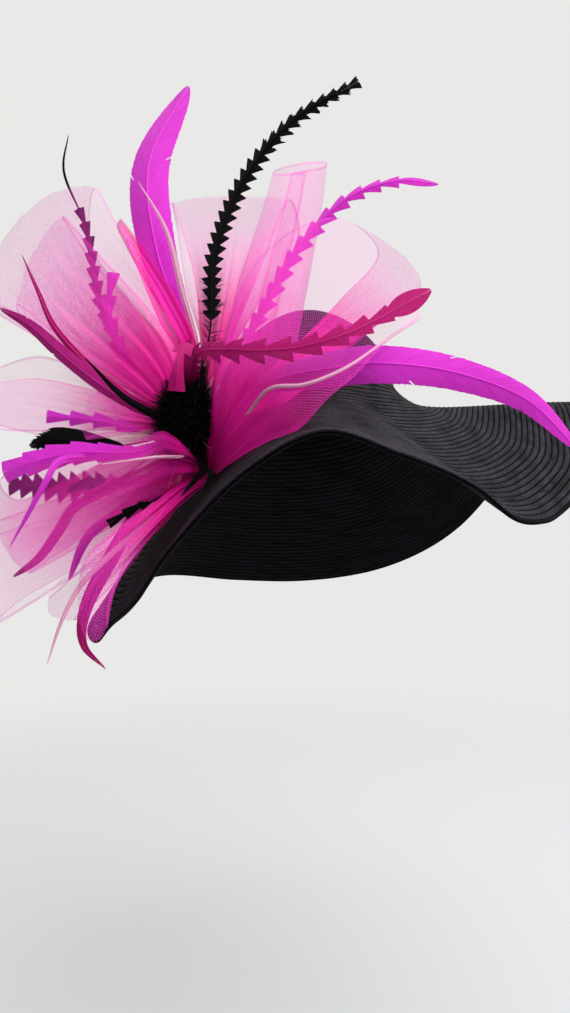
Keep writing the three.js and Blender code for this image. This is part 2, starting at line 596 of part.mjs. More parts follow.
function buildTrim() {
  addMesh(group, 'hackle_pad', padGeometry(), 'black');
  for (const loop of LOOPS) addMesh(group, loop.name, seatOnPad(loopGeometry(loop)), 'net');
  addMesh(group, 'net_loop_rolled', seatOnPad(rolledLoopGeometry()), 'net');
  for (const feather of FEATHERS) {
    addMesh(group, feather.name, seatOnPad(featherGeometry(feather)), feather.color);
  }
}

buildStraw();
buildEdge();
buildTrim();

export default group;
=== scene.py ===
"""Looks of a race day hat: sewn straw braid, crin loops, cut feathers and a hackle pad.

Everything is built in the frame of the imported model, with +Z up and the wearer facing -Y. Sizes
and points in the tables are in millimetres and become metres when a mesh is made. A point given
as a sight is a picture position and a depth: the pixel it covers in the 570 by 1013 frame and
its Y coordinate.
"""

from __future__ import annotations

import logging
import math
import random
from collections.abc import Sequence
from dataclasses import dataclass
from enum import Enum

import bpy
import numpy as np
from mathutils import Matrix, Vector

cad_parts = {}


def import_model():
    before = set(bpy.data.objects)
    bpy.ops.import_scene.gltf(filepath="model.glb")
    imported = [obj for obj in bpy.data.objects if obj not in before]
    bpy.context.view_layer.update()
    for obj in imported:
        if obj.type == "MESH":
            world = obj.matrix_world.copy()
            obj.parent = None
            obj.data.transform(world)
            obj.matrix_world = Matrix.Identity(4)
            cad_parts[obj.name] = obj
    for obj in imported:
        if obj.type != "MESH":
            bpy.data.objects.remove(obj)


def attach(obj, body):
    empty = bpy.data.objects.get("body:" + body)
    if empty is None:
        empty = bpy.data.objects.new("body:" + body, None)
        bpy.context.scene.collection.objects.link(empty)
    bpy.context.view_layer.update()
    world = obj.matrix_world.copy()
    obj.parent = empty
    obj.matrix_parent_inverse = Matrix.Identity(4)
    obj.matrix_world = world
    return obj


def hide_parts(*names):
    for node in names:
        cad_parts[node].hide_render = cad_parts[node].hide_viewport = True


LOG = logging.getLogger("race_day_hat")

MM = 0.001

# Layers of net that light passes before it stops
NET_LAYERS = 40

Point = tuple[float, float, float]
Tone = tuple[float, float, float, float]
Material = bpy.types.Material
Object = bpy.types.Object
Socket = bpy.types.NodeSocket


# Camera and stage


@dataclass(frozen=True)
class SightCamera:
    """The camera, and the way from a picture position to a point of the model.

    Attributes:
        eye: Where the camera stands, in millimetres.
        lens: Focal length in millimetres.
        sensor: Length of the sensor's long side in millimetres.
        frame: Width and height of the picture in pixels.
    """

    eye: Point = (-18.7, -650.0, -78.0)
    lens: float = 26.0
    sensor: float = 36.0
    frame: tuple[int, int] = (570, 1013)

    @property
    def focal(self) -> float:
        """Focal length in pixels."""
        return self.lens / self.sensor * self.frame[1]

    def point(self, sight: Point) -> np.ndarray:
        """Returns the point, in millimetres, that a sight names.

        Args:
            sight: Column and row of the pixel, and the point's Y coordinate.
        """
        column, row, depth = sight
        scale = (depth - self.eye[1]) / self.focal
        return np.array([
            self.eye[0] + (column - self.frame[0] / 2) * scale,
            depth,
            self.eye[2] + (self.frame[1] / 2 - row) * scale,
        ])

    def build(self) -> None:
        """Makes the camera and sets it as the scene's own."""
        data = bpy.data.cameras.new("camera")
        data.lens = self.lens
        data.sensor_width = self.sensor
        camera = bpy.data.objects.new("camera", data)
        camera.location = [value * MM for value in self.eye]
        camera.rotation_euler = (math.pi / 2, 0, 0)
        bpy.context.collection.objects.link(camera)
        bpy.context.scene.camera = camera


CAMERA = SightCamera()


@dataclass(frozen=True)
class Studio:
    """Plain floor, pale surroundings and soft light.

    Attributes:
        floor_height: Height of the floor.
        floor_reach: How far the floor reaches to each side.
        fade: Distances from the hat in metres at which the floor starts and ends its fading.
        floor_tone: Colour of the floor, as sRGB.
        pale: Colour of the surroundings, as sRGB.
        sky_way: Direction that the surroundings' soft light comes from.
        sky: Lowest and highest share of a direction along that, and the light from each.
        lights: Name, place, aim, size in metres and power in watts of each soft box.
    """

    floor_height: float = -620.0
    floor_reach: float = 3600.0
    fade: tuple[float, float] = (1.0, 1.75)
    floor_tone: str = "#dddee0"
    pale: str = "#e9e9e7"
    sky_way: Point = (0.5, -0.15, 0.85)
    sky: tuple[float, float, float, float] = (-0.45, 0.55, 0.06, 0.9)
    lights: tuple[tuple[str, Point, Point, float, float], ...] = (
        ("key_light", (900.0, -1100.0, 1900.0), (0.0, 0.0, 0.0), 2.0, 30.0),
        ("fill_light", (1200.0, -1200.0, 900.0), (0.0, 0.0, -40.0), 1.8, 10.0),
        ("back_light", (500.0, 1400.0, 1500.0), (0.0, 0.0, 0.0), 1.6, 3.0),
    )

    def build(self) -> None:
        """Makes the floor, the world and the lights."""
        low, wide = self.floor_height, self.floor_reach
        corners = [(-wide, -wide, low), (wide, -wide, low), (wide, wide, low), (-wide, wide, low)]
        floor = add_mesh("floor", np.array(corners), [(0, 1, 2, 3)])
        surface = Finish("floor_paint")
        surface.set("Base Color", colour(self.floor_tone))
        surface.set("Roughness", 0.7)
        place = surface.node("TexCoord").outputs["Object"]
        away = surface.node("VectorMath", {0: place}, operation="LENGTH").outputs["Value"]
        span = {"Value": away, "From Min": self.fade[1], "From Max": self.fade[0]}
        fading = surface.node("MapRange", span, interpolation_type="SMOOTHSTEP")
        surface.join("Alpha", fading.outputs["Result"])
        floor.data.materials.append(surface.material)
        bpy.context.scene.world = self._surroundings()
        for name, place, aim, size, power in self.lights:
            data = bpy.data.lights.new(name, "AREA")
            data.size = size
            data.energy = power
            light = bpy.data.objects.new(name, data)
            light.location = [value * MM for value in place]
            away = light.location - Vector([value * MM for value in aim])
            light.rotation_euler = away.to_track_quat("Z", "Y").to_euler()
            bpy.context.collection.objects.link(light)

    def _surroundings(self) -> bpy.types.World:
        """Returns the world: pale to the camera, and soft light from above for all else."""
        world = bpy.data.worlds.new("surroundings")
        world.use_nodes = True
        nodes = NodeTree(world.node_tree)
        way = nodes.node("TexCoord").outputs["Generated"]
        share = nodes.node("VectorMath", {0: way, 1: self.sky_way}, operation="DOT_PRODUCT")
        limits = dict(zip(("From Min", "From Max", "To Min", "To Max"), self.sky))
        climb = nodes.node("MapRange", {"Value": share.outputs["Value"], **limits})
        seen = nodes.node("LightPath").outputs["Is Camera Ray"]
        light = nodes.mix(seen, climb.outputs["Result"], colour(self.pale))
        nodes.tree.links.new(light, nodes.tree.nodes["Background"].inputs["Color"])
        return world


# Materials


def colour(code: str, alpha: float = 1.0) -> Tone:
    """Returns a linear colour for an sRGB hex code such as "#2d2b2d"."""
    channels = [int(code[i:i + 2], 16) / 255 for i in (1, 3, 5)]
    linear = [c / 12.92 if c <= 0.04045 else ((c + 0.055) / 1.055) ** 2.4 for c in channels]
    return (*linear, alpha)


class NodeTree:
    """A tree of shader nodes, and short ways to add to it."""

    def __init__(self, tree: bpy.types.NodeTree) -> None:
        """Keeps the tree."""
        self.tree = tree

    def node(self, kind: str, inputs: dict | None = None, **settings: object) -> bpy.types.Node:
        """Adds a node.

        Args:
            kind: The node's type name without "ShaderNode".
            inputs: Value or joined socket of each input, by name or number.
            **settings: The node's own settings.
        """
        node = self.tree.nodes.new("ShaderNode" + kind)
        for name, value in settings.items():
            setattr(node, name, value)
        for key, value in (inputs or {}).items():
            if isinstance(value, Socket):
                self.tree.links.new(value, node.inputs[key])
            else:
                node.inputs[key].default_value = value
        return node

    def math(self, operation: str, *values: object, clamp: bool = False) -> Socket:
        """Adds a Math node and returns its output."""
        inputs = dict(enumerate(values))
        return self.node("Math", inputs, operation=operation, use_clamp=clamp).outputs[0]

    def times(self, *values: object, clamp: bool = False) -> Socket:
        """Multiplies two values."""
        return self.math("MULTIPLY", *values, clamp=clamp)

    def plus(self, *values: object) -> Socket:
        """Adds two values."""
        return self.math("ADD", *values)

    def mix(self, factor: object, first: object, second: object) -> Socket:
        """Mixes two colours and returns the output."""
        inputs = {0: factor, 6: first, 7: second}
        return self.node("Mix", inputs, data_type="RGBA").outputs[2]


class Finish(NodeTree):
    """A material with one shader, and short ways to dress it."""

    def __init__(self, name: str) -> None:
        """Makes the material under its name."""
        self.material = bpy.data.materials.new(name)
        self.material.use_nodes = True
        super().__init__(self.material.node_tree)
        self.shader = self.tree.nodes["Principled BSDF"]

    def set(self, socket: str, value: object) -> None:
        """Sets one of the shader's own sockets."""
        self.shader.inputs[socket].default_value = value

    def noise(self, vector: object, scale: float, detail: float = 2.0) -> Socket:
        """Adds a noise texture and returns its value."""
        inputs = {"Vector": vector, "Scale": scale, "Detail": detail}
        return self.node("TexNoise", inputs).outputs["Fac"]

    def spread(self, value: object, low: float, high: float) -> Socket:
        """Stretches the range from low to high over 0 to 1."""
        inputs = {"Value": value, "From Min": low, "From Max": high}
        return self.node("MapRange", inputs).outputs["Result"]

    def attribute(self, name: str) -> Socket:
        """Returns the value of a mesh attribute."""
        return self.node("Attribute", attribute_name=name).outputs["Fac"]

    def pattern(self) -> tuple[Socket, Socket, Socket]:
        """Returns the UV map's vector and its two coordinates."""
        vector = self.node("UVMap", uv_map="pattern").outputs["UV"]
        split = self.node("SeparateXYZ", {"Vector": vector})
        return vector, split.outputs["X"], split.outputs["Y"]

    def scaled(self, vector: object, across: float, along: float) -> Socket:
        """Stretches a pattern vector."""
        inputs = {0: vector, 1: (across, along, 1.0)}
        return self.node("VectorMath", inputs, operation="MULTIPLY").outputs["Vector"]

    def join(self, socket: str, output: Socket) -> None:
        """Joins an output to one of the shader's sockets."""
        self.tree.links.new(output, self.shader.inputs[socket])

    def bump(self, height: object, distance: float, strength: float = 1.0) -> None:
        """Gives the surface a relief of the given depth in metres."""
        inputs = {"Height": height, "Distance": distance, "Strength": strength}
        self.join("Normal", self.node("Bump", inputs).outputs["Normal"])


# Geometry


def add_mesh(
    name: str,
    vertices: np.ndarray,
    faces: Sequence[Sequence[int]] | np.ndarray,
    corners: np.ndarray | None = None,
    values: dict[str, np.ndarray] | None = None,
    smooth: bool = True,
) -> Object:
    """Makes a mesh object from points in millimetres.

    Args:
        name: Name of the object and its mesh.
        vertices: Points, one row each.
        faces: Vertex numbers of each face.
        corners: Pattern coordinates, a pair for each corner of each face in turn.
        values: Further values for each vertex, by attribute name.
        smooth: True for smooth shading.
    """
    mesh = bpy.data.meshes.new(name)
    mesh.from_pydata((np.asarray(vertices) * MM).tolist(), [], np.asarray(faces).tolist())
    if corners is not None:
        layer = mesh.uv_layers.new(name="pattern")
        layer.data.foreach_set("uv", np.asarray(corners, dtype=np.float32).ravel())
    for key, array in (values or {}).items():
        attribute = mesh.attributes.new(key, "FLOAT", "POINT")
        attribute.data.foreach_set("value", np.asarray(array, dtype=np.float32).ravel())
    if smooth:
        mesh.shade_smooth()
    made = bpy.data.objects.new(name, mesh)
    bpy.context.collection.objects.link(made)
    return made


def declare(piece: Object, node: str, slot: str, *materials: Material) -> Object:
    """Gives a piece its materials, hangs it from the root and hides the solid it stands for.

    Args:
        piece: The piece.
        node: The solid it stands for.
        slot: Its slot; not used.
        *materials: Its materials in the order of their numbers.
    """
    for material in materials:
        piece.data.materials.append(material)
    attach(piece, "root")
    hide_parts(node)
    return piece


def unit(vectors: np.ndarray) -> np.ndarray:
    """Returns vectors scaled to length 1."""
    return vectors / np.maximum(np.linalg.norm(vectors, axis=-1, keepdims=True), 1e-9)


def grid_faces(rows: int, columns: int, start: int = 0, closed: bool = False) -> np.ndarray:
    """Returns the faces of a grid of vertices numbered row by row.

    Args:
        rows: Rows of vertices.
        columns: Vertices in each row.
        start: Number of the first vertex.
        closed: True where each row runs round into itself.
    """
    row, column = np.meshgrid(
        np.arange(rows - 1), np.arange(columns if closed else columns - 1), indexing="ij")
    following = (column + 1) % columns
    first = start + row * columns
    corners = [first + column, first + following,
               first + columns + following, first + columns + column]
    return np.stack(corners, axis=-1).reshape(-1, 4)


class Spline:
    """A smooth curve through points, walked by its length."""

    def __init__(self, points: Sequence[Sequence[float]], steps: int = 24) -> None:
        """Lays the curve.

        Args:
            points: What it passes through, in order.
            steps: Short straight steps between two of them.
        """
        knots = np.asarray(points, dtype=float)
        ends = [2 * knots[0] - knots[1], *knots, 2 * knots[-1] - knots[-2]]
        track = []
        self.marks = []
        for i in range(len(knots) - 1):
            self.marks.append(len(track) * steps)
            track.append(self._piece(np.asarray(ends[i:i + 4]), steps))
        self.marks.append(len(track) * steps)
        self.track = np.vstack([*track, knots[-1:]])
        lengths = np.linalg.norm(np.diff(self.track, axis=0), axis=1)
        self.walked = np.concatenate([[0.0], np.cumsum(lengths)])
        self.length = float(self.walked[-1])

    @staticmethod
    def _piece(four: np.ndarray, steps: int) -> np.ndarray:
        """Returns a centripetal Catmull-Rom piece between the middle two of four points."""
        gaps = np.maximum(np.linalg.norm(np.diff(four, axis=0), axis=1), 1e-6) ** 0.5
        times = np.concatenate([[0.0], np.cumsum(gaps)])
        at = np.linspace(times[1], times[2], steps, endpoint=False)[:, None]

        def blend(left: np.ndarray, right: np.ndarray, i: int, j: int) -> np.ndarray:
            """Mixes two tracks by how far each step lies between two knots' times."""
            return ((times[j] - at) * left + (at - times[i]) * right) / (times[j] - times[i])

        near = [blend(four[i], four[i + 1], i, i + 1) for i in range(3)]
        wide = [blend(near[i], near[i + 1], i, i + 2) for i in range(2)]
        return blend(wide[0], wide[1], 1, 2)

    def at(self, distance: np.ndarray) -> np.ndarray:
        """Returns the points at distances along the curve."""
        distance = np.clip(distance, 0, self.length)
        return np.stack(
            [np.interp(distance, self.walked, self.track[:, k]) for k in range(3)], axis=-1)

    def along(self, distance: np.ndarray, probe: float = 1.5) -> np.ndarray:
        """Returns the curve's direction at distances along it."""
        low = np.clip(distance - probe, 0, self.length - probe)
        high = np.clip(distance + probe, probe, self.length)
        return unit(self.at(high) - self.at(low))

    def mark(self, index: int) -> float:
        """Returns how far along the curve one of its given points lies."""
        return float(self.walked[min(self.marks[index], len(self.walked) - 1)])


# Straw


# The rim's waves, round from the back: azimuth in degrees from the front towards +X, reach from
# the axis, height, and how far the middle of the brim stands above a straight line there
RIM = (
    (-180, 219, -164, 8), (-160, 224, -162, 8), (-138, 229, -153, 8), (-118, 212, -163, 10),
    (-95, 195, -180, 10), (-66, 184, -183, 6), (-44, 198, -157, 4), (-30, 224, -136, 2),
    (-18, 256, -97, 0), (-8, 276, -59, -4), (0, 282, -40, -6), (8, 278, -50, -6),
    (18, 268, -66, -4), (26, 258, -84, -1), (34, 248, -86, 2), (42, 238, -81, 2),
    (50, 234, -71, 2), (60, 234, -53, 3), (72, 230, -24, 5), (86, 230, 12, 9),
    (102, 234, -3, 8), (118, 235, -46, 7), (133, 234, -100, 7), (147, 232, -134, 7),
    (161, 223, -154, 8),
)


# Points at which the way down the straw is measured
WAY_POINTS = 160


@dataclass(frozen=True)
class StrawShape:
    """The surface of the crown and brim, as the solids have it.

    Attributes:
        half_width: Half width of the crown where the flare begins.
        half_depth: Half depth there.
        line_rise: Height of that line above the middle of the opening.
        rise: Height of the dome above the line.
        fullness: Exponent of the dome's round profile.
        shift: How far the dome leans towards +X.
        tilt: Degrees that the hat tips backwards.
        roll: Degrees that its +X side is raised.
        drop: How far the brim goes on downwards before it turns out.
        belly_share: Where the brim's belly lies across its width.
    """

    half_width: float = 78.0
    half_depth: float = 95.0
    line_rise: float = 17.7
    rise: float = 77.0
    fullness: float = 1.65
    shift: float = 6.0
    tilt: float = 9.0
    roll: float = 6.0
    drop: float = 30.0
    belly_share: float = 0.42

    def worn(self) -> np.ndarray:
        """Returns the turn from the upright hat to the worn one."""
        tilt, roll = -math.radians(self.tilt), -math.radians(self.roll)
        about_x = np.array([
            [1, 0, 0],
            [0, math.cos(tilt), -math.sin(tilt)],
            [0, math.sin(tilt), math.cos(tilt)]])
        about_y = np.array([
            [math.cos(roll), 0, math.sin(roll)],
            [0, 1, 0],
            [-math.sin(roll), 0, math.cos(roll)]])
        return about_x @ about_y

    @staticmethod
    def rim(azimuth: np.ndarray) -> np.ndarray:
        """Returns the rim's reach, height and belly at azimuths in degrees."""
        rows = np.array(RIM, dtype=float)
        count = len(rows)
        turned = (azimuth - rows[0, 0]) % 360 + rows[0, 0]
        index = np.searchsorted(rows[:, 0], turned, side="right") - 1
        near = []
        for step in (-1, 0, 1, 2):
            place = (index + step) % count
            turn = 360 * ((index + step) // count)
            near.append((rows[place, 0] + turn, rows[place, 1:]))
        (a0, v0), (a1, v1), (a2, v2), (a3, v3) = near
        span = (a2 - a1)[..., None]
        slope1 = (v2 - v0) / (a2 - a0)[..., None] * span
        slope2 = (v3 - v1) / (a3 - a1)[..., None] * span
        t = ((turned - a1) / (a2 - a1))[..., None]
        return ((2 * t**3 - 3 * t**2 + 1) * v1 + (t**3 - 2 * t**2 + t) * slope1
                + (3 * t**2 - 2 * t**3) * v2 + (t**3 - t**2) * slope2)

    def crown(self, azimuth: np.ndarray, climb: np.ndarray) -> np.ndarray:
        """Returns points of the dome: climb is 0 on the head line and 1 at the top."""
        angle = np.clip(climb, 0, 1) * math.pi / 2
        half = np.maximum(np.cos(angle), 0) ** (2 / self.fullness)
        rise = np.sin(angle) ** (2 / self.fullness)
        turn = np.radians(azimuth)
        points = np.stack([
            self.half_width * half * np.sin(turn) + self.shift * rise,
            -self.half_depth * half * np.cos(turn),
            self.line_rise + self.rise * rise + 0 * turn], axis=-1)
        return points @ self.worn().T

    def brim(self, azimuth: np.ndarray, spread: np.ndarray) -> np.ndarray:
        """Returns points of the brim: spread is 0 on the head line and 1 at the rim."""
        reach, height, belly = np.moveaxis(self.rim(azimuth), -1, 0)
        turn = np.radians(azimuth)
        start = self.crown(azimuth, np.zeros_like(azimuth))
        down = start + self.worn() @ np.array([0, 0, -self.drop])
        rim = np.stack([reach * np.sin(turn), -reach * np.cos(turn), height], axis=-1)
        middle = down + (rim - down) * self.belly_share
        middle[..., 2] += belly
        t = spread[..., None]
        return ((1 - t)**3 * start + 3 * (1 - t)**2 * t * down
                + 3 * (1 - t) * t**2 * middle + t**3 * rim)

    def point(self, azimuth: np.ndarray, station: np.ndarray) -> np.ndarray:
        """Returns points by station: -1 at the top, 0 on the head line and 1 at the rim."""
        azimuth, station = np.broadcast_arrays(azimuth, station)
        crown = self.crown(azimuth, -np.minimum(station, 0))
        brim = self.brim(azimuth, np.maximum(station, 0))
        return np.where((station < 0)[..., None], crown, brim)

    def normal(self, azimuth: np.ndarray, station: np.ndarray, probe: float = 0.01) -> np.ndarray:
        """Returns the outward normals at stations."""
        station = np.clip(station, -1 + probe, 1)
        around = self.point(azimuth + 1, station) - self.point(azimuth - 1, station)
        down = (self.point(azimuth, np.minimum(station + probe, 1))
                - self.point(azimuth, station - probe))
        return unit(np.cross(down, around))

    def stations(self, azimuth: np.ndarray, low: float, high: float,
                 shares: np.ndarray) -> np.ndarray:
        """Returns the stations that lie at even shares of the way down the straw.

        Args:
            azimuth: Azimuths in degrees, one column each.
            low: Station where the way starts.
            high: Station where it ends.
            shares: Shares of the way, one row each.
        """
        tries = np.linspace(low, high, WAY_POINTS)
        path = self.point(azimuth[None, :], tries[:, None])
        steps = np.linalg.norm(np.diff(path, axis=0), axis=-1)
        walked = np.vstack([np.zeros(len(azimuth)), np.cumsum(steps, axis=0)])
        walked /= walked[-1]
        columns = [np.interp(shares, walked[:, k], tries) for k in range(len(azimuth))]
        return np.stack(columns, axis=1)


STRAW = StrawShape()


@dataclass(frozen=True)
class BraidPart:
    """Part of the straw, covered with sewn rows of braid.

    Attributes:
        name: Name of the piece.
        node: The solid it stands for.
        low: Station of its upper edge.
        high: Station of its lower edge.
        rows: How many rows of braid cover it.
        sides: How many columns of faces go round it.
        wall: Thickness of the straw.
        relief: Height of a row above its groove.
        lining_relief: Share of that on the inside.
    """

    name: str
    node: str
    low: float
    high: float
    rows: int
    sides: int
    wall: float = 1.7
    relief: float = 0.9
    lining_relief: float = 0.5

    # Height of a braid row across its width, from the groove above it to the one below
    PROFILE = ((0.0, 0.0), (0.1, 0.66), (0.34, 1.0), (0.68, 0.88), (0.92, 0.5))
    LINING = ((0.0, 0.0), (0.5, 1.0))

    def _layer(self, profile: Sequence[tuple[float, float]], outside: bool) -> tuple:
        """Lays the rows over one face of the straw.

        Args:
            profile: Phase and height of each ring of points in a row.
            outside: True for the outer face.

        Returns:
            The face's points, ring by ring, and the pattern at its face corners.
        """
        azimuth = np.linspace(0, 360, self.sides, endpoint=False)
        shares = [(row + phase) / self.rows for row in range(self.rows) for phase, _ in profile]
        heights = [height for _ in range(self.rows) for _, height in profile]
        shares, heights = np.array([*shares, 1.0]), np.array([*heights, 0.0])
        station = STRAW.stations(azimuth, self.low, self.high, shares)
        base = STRAW.point(azimuth[None, :], station)
        normal = STRAW.normal(azimuth[None, :], station)
        lift = heights[:, None, None] * self.relief
        points = base + normal * (lift if outside else -self.wall - lift * self.lining_relief)
        middle = base[len(profile) // 2::len(profile)][:self.rows]
        steps = np.linalg.norm(np.roll(middle, -1, axis=1) - middle, axis=-1)
        walked = np.hstack([np.zeros((self.rows, 1)), np.cumsum(steps, axis=1)])
        ring = np.arange(len(shares) - 1)
        row = ring // len(profile)
        left, right = walked[row, :-1], walked[row, 1:]
        across = shares * self.rows
        high = np.repeat(across[ring][:, None], self.sides, axis=1)
        low = np.repeat(across[ring + 1][:, None], self.sides, axis=1)
        pairs = [(left, high), (right, high), (right, low), (left, low)]
        corners = np.stack([np.stack(pair, axis=-1) for pair in pairs], axis=2)
        return points, corners

    def build(self, straw: Material, shaded_straw: Material) -> Object:
        """Makes the piece."""
        outer, outer_corners = self._layer(self.PROFILE, True)
        inner, inner_corners = self._layer(self.LINING, False)
        count = outer.shape[0] * self.sides
        last = inner.shape[0] * self.sides
        vertices = np.vstack([outer.reshape(-1, 3), inner.reshape(-1, 3)])
        faces = [grid_faces(outer.shape[0], self.sides, closed=True)[:, ::-1],
                 grid_faces(inner.shape[0], self.sides, count, closed=True)]
        corners = [outer_corners.reshape(-1, 4, 2)[:, ::-1], inner_corners.reshape(-1, 4, 2)]
        side = np.arange(self.sides)
        following = (side + 1) % self.sides
        edges = [(0, count, False), (count - self.sides, count + last - self.sides, True)]
        for outside, inside, lowest in edges:
            strip = [outside + side, outside + following, inside + following, inside + side]
            faces.append(np.stack(strip if not lowest else strip[::-1], axis=-1))
            corners.append(np.zeros((self.sides, 4, 2)))
        piece = add_mesh(self.name, vertices, np.vstack(faces), np.vstack(corners))
        declare(piece, self.node, "straw", straw, shaded_straw)
        # Outer faces take the straw; inner faces take its darker copy, painted shade for the inside
        # and underside.
        sides = np.ones(len(piece.data.polygons), dtype=np.int32)
        sides[:len(faces[0])] = 0
        piece.data.polygons.foreach_set("material_index", sides)
        return piece


CROWN = BraidPart("braid_crown", "straw_crown", low=-0.999, high=0.0, rows=32, sides=180)
BRIM = BraidPart("braid_brim", "straw_brim", low=0.0, high=1.0, rows=38, sides=288)


@dataclass(frozen=True)
class StrawFinish:
    """Black sewn straw: rows of fine plait, matte, with small glints painted into its tone.

    Attributes:
        name: Name of the material.
        dark: Tone of the gaps between strands, and of the painted shade in the grooves between rows,
            as sRGB.
        light: Tone of the strands, as sRGB.
        gloss: Strength of the surface's reflection.
        strands: Strands of the plait to a millimetre.
        slant: How they slant across a row.
        groove: Where the painted shade of a row's groove is full and where it starts, from the row's
            middle.
        weave: How much the strands add to the tone, and what is there without them.
        speck_scale: Scale of the specks, across a row and along it.
        painted_glint_limits: Noise at which a painted glint starts and is full.
        drift_scale: Scale of the slow drift of the tone.
        drift_limits: Noise at which it starts and is full.
        roughness: Least roughness, and what the specks add.
        relief: Depth of the plait's relief in metres, and its strength.
    """

    name: str
    dark: str
    light: str
    gloss: float
    strands: float = 0.8
    slant: float = 2.4
    groove: tuple[float, float] = (0.45, 0.27)
    weave: tuple[float, float] = (0.4, 0.1)
    speck_scale: tuple[float, float] = (0.75, 2.6)
    painted_glint_limits: tuple[float, float] = (0.42, 0.62)
    drift_scale: tuple[float, float] = (0.05, 0.35)
    drift_limits: tuple[float, float] = (0.1, 0.6)
    roughness: tuple[float, float] = (0.38, 0.3)
    relief: tuple[float, float] = (0.0004, 0.8)

    def make(self) -> Material:
        """Makes the material."""
        finish = Finish(self.name)
        vector, along, across = finish.pattern()
        centre = finish.math("ABSOLUTE", finish.math("SUBTRACT", finish.math("FRACT", across), 0.5))
        turns = finish.plus(finish.times(along, self.strands), finish.times(centre, self.slant))
        strand = finish.math("ABSOLUTE", finish.math("SINE", finish.times(turns, math.pi)))
        # Painted shade: the tone goes dark towards the grooves between rows.
        groove = finish.spread(centre, *self.groove)
        speck = finish.noise(finish.scaled(vector, *self.speck_scale), 1.0)
        drift = finish.noise(finish.scaled(vector, *self.drift_scale), 1.0)
        weave = finish.plus(finish.times(strand, self.weave[0]), self.weave[1])
        # Painted highlights: specks of lighter tone stand in for the straw's small glints.
        painted_glints = finish.spread(speck, *self.painted_glint_limits)
        shade = finish.times(finish.plus(weave, painted_glints), groove, clamp=True)
        faded = finish.times(shade, finish.spread(drift, *self.drift_limits), clamp=True)
        finish.join("Base Color", finish.mix(faded, colour(self.dark), colour(self.light)))
        least, added = self.roughness
        finish.join("Roughness", finish.plus(finish.times(speck, added), least))
        finish.set("Specular IOR Level", self.gloss)
        finish.bump(finish.plus(finish.times(strand, 0.6), speck), *self.relief)
        return finish.material


@dataclass(frozen=True)
class RimBinding:
    """Corded binding round the rim, over its wire.

    Attributes:
        radius: Half thickness of the binding.
        hold: How far the straw's edge reaches into it.
        probe: Station just inside the rim, which tells which way is outwards.
        cords: How many cords show side by side on its section.
        lobe: Least share of the radius, between the cords, and how much they add to it.
        steps: Sections round the rim.
        sides: Points on each section.
    """

    radius: float = 1.5
    hold: float = 0.9
    probe: float = 0.985
    cords: int = 2
    lobe: tuple[float, float] = (0.9, 0.14)
    steps: int = 720
    sides: int = 12

    def build(self, finish: Material) -> Object:
        """Makes the binding."""
        azimuth = np.linspace(0, 360, self.steps, endpoint=False)
        edge = STRAW.point(azimuth, np.ones_like(azimuth))
        inside = STRAW.point(azimuth, np.full_like(azimuth, self.probe))
        out = unit(edge - inside)
        up = STRAW.normal(azimuth, np.ones_like(azimuth))
        centre = edge - up * BRIM.wall / 2 + out * (self.radius - self.hold)
        turn = np.linspace(0, 2 * math.pi, self.sides, endpoint=False)
        low, added = self.lobe
        lobes = self.radius * (low + added * np.abs(np.cos(self.cords * turn / 2)))
        points = (centre[:, None] + out[:, None] * (np.cos(turn) * lobes)[None, :, None]
                  + up[:, None] * (np.sin(turn) * lobes)[None, :, None])
        rows = np.arange(self.steps)
        following = (rows + 1) % self.steps
        side = np.arange(self.sides)
        beside = (side + 1) % self.sides
        first = (rows * self.sides)[:, None]
        second = (following * self.sides)[:, None]
        faces = np.stack([first + side, second + side, second + beside, first + beside], axis=-1)
        length = np.linalg.norm(np.roll(edge, -1, axis=0) - edge, axis=1).mean()
        u = np.stack([rows, rows + 1, rows + 1, rows], axis=-1) * length
        v = np.stack([side, side, side + 1, side + 1], axis=-1) / 4
        corners = np.stack(np.broadcast_arrays(u[:, None, :], v[None, :, :]), axis=-1)
        piece = add_mesh("rim_binding", points.reshape(-1, 3), faces.reshape(-1, 4),
                         corners.reshape(-1, 2))
        return declare(piece, "brim_edge", "rim_edge", finish)


# The pad that carries the trim


@dataclass(frozen=True)
class PadShape:
    """The ellipsoid that all trim is gathered on.

    Attributes:
        centre: Its middle.
        half_side: Half size round the hat.
        half_thick: Half size away from the straw.
        half_long: Half size down the slope of the brim.
        azimuth: Degrees from the front towards +X.
        slope: Degrees that the straw falls there.
    """

    centre: Point = (-92.0, -100.0, -17.0)
    half_side: float = 22.0
    half_thick: float = 17.0
    half_long: float = 34.0
    azimuth: float = -42.0
    slope: float = 60.0

    def axes(self) -> np.ndarray:
        """Returns the directions round the hat, away from the straw and down the slope."""
        turn, fall = math.radians(self.azimuth), math.radians(self.slope)
        radial = np.array([math.sin(turn), -math.cos(turn), 0.0])
        up = np.array([0.0, 0.0, 1.0])
        out = radial * math.sin(fall) + up * math.cos(fall)
        down = radial * math.cos(fall) - up * math.sin(fall)
        return np.stack([np.cross(out, down), out, down])

    def point(self, direction: Sequence[float], share: float = 1.0) -> np.ndarray:
        """Returns the point in a direction, at a share of the way to the surface."""
        way = unit(np.asarray(direction, dtype=float))
        sizes = np.array([self.half_side, self.half_thick, self.half_long])
        reach = 1 / np.linalg.norm(self.axes() @ way / sizes)
        return np.asarray(self.centre) + way * reach * share


PAD = PadShape()


# Crin


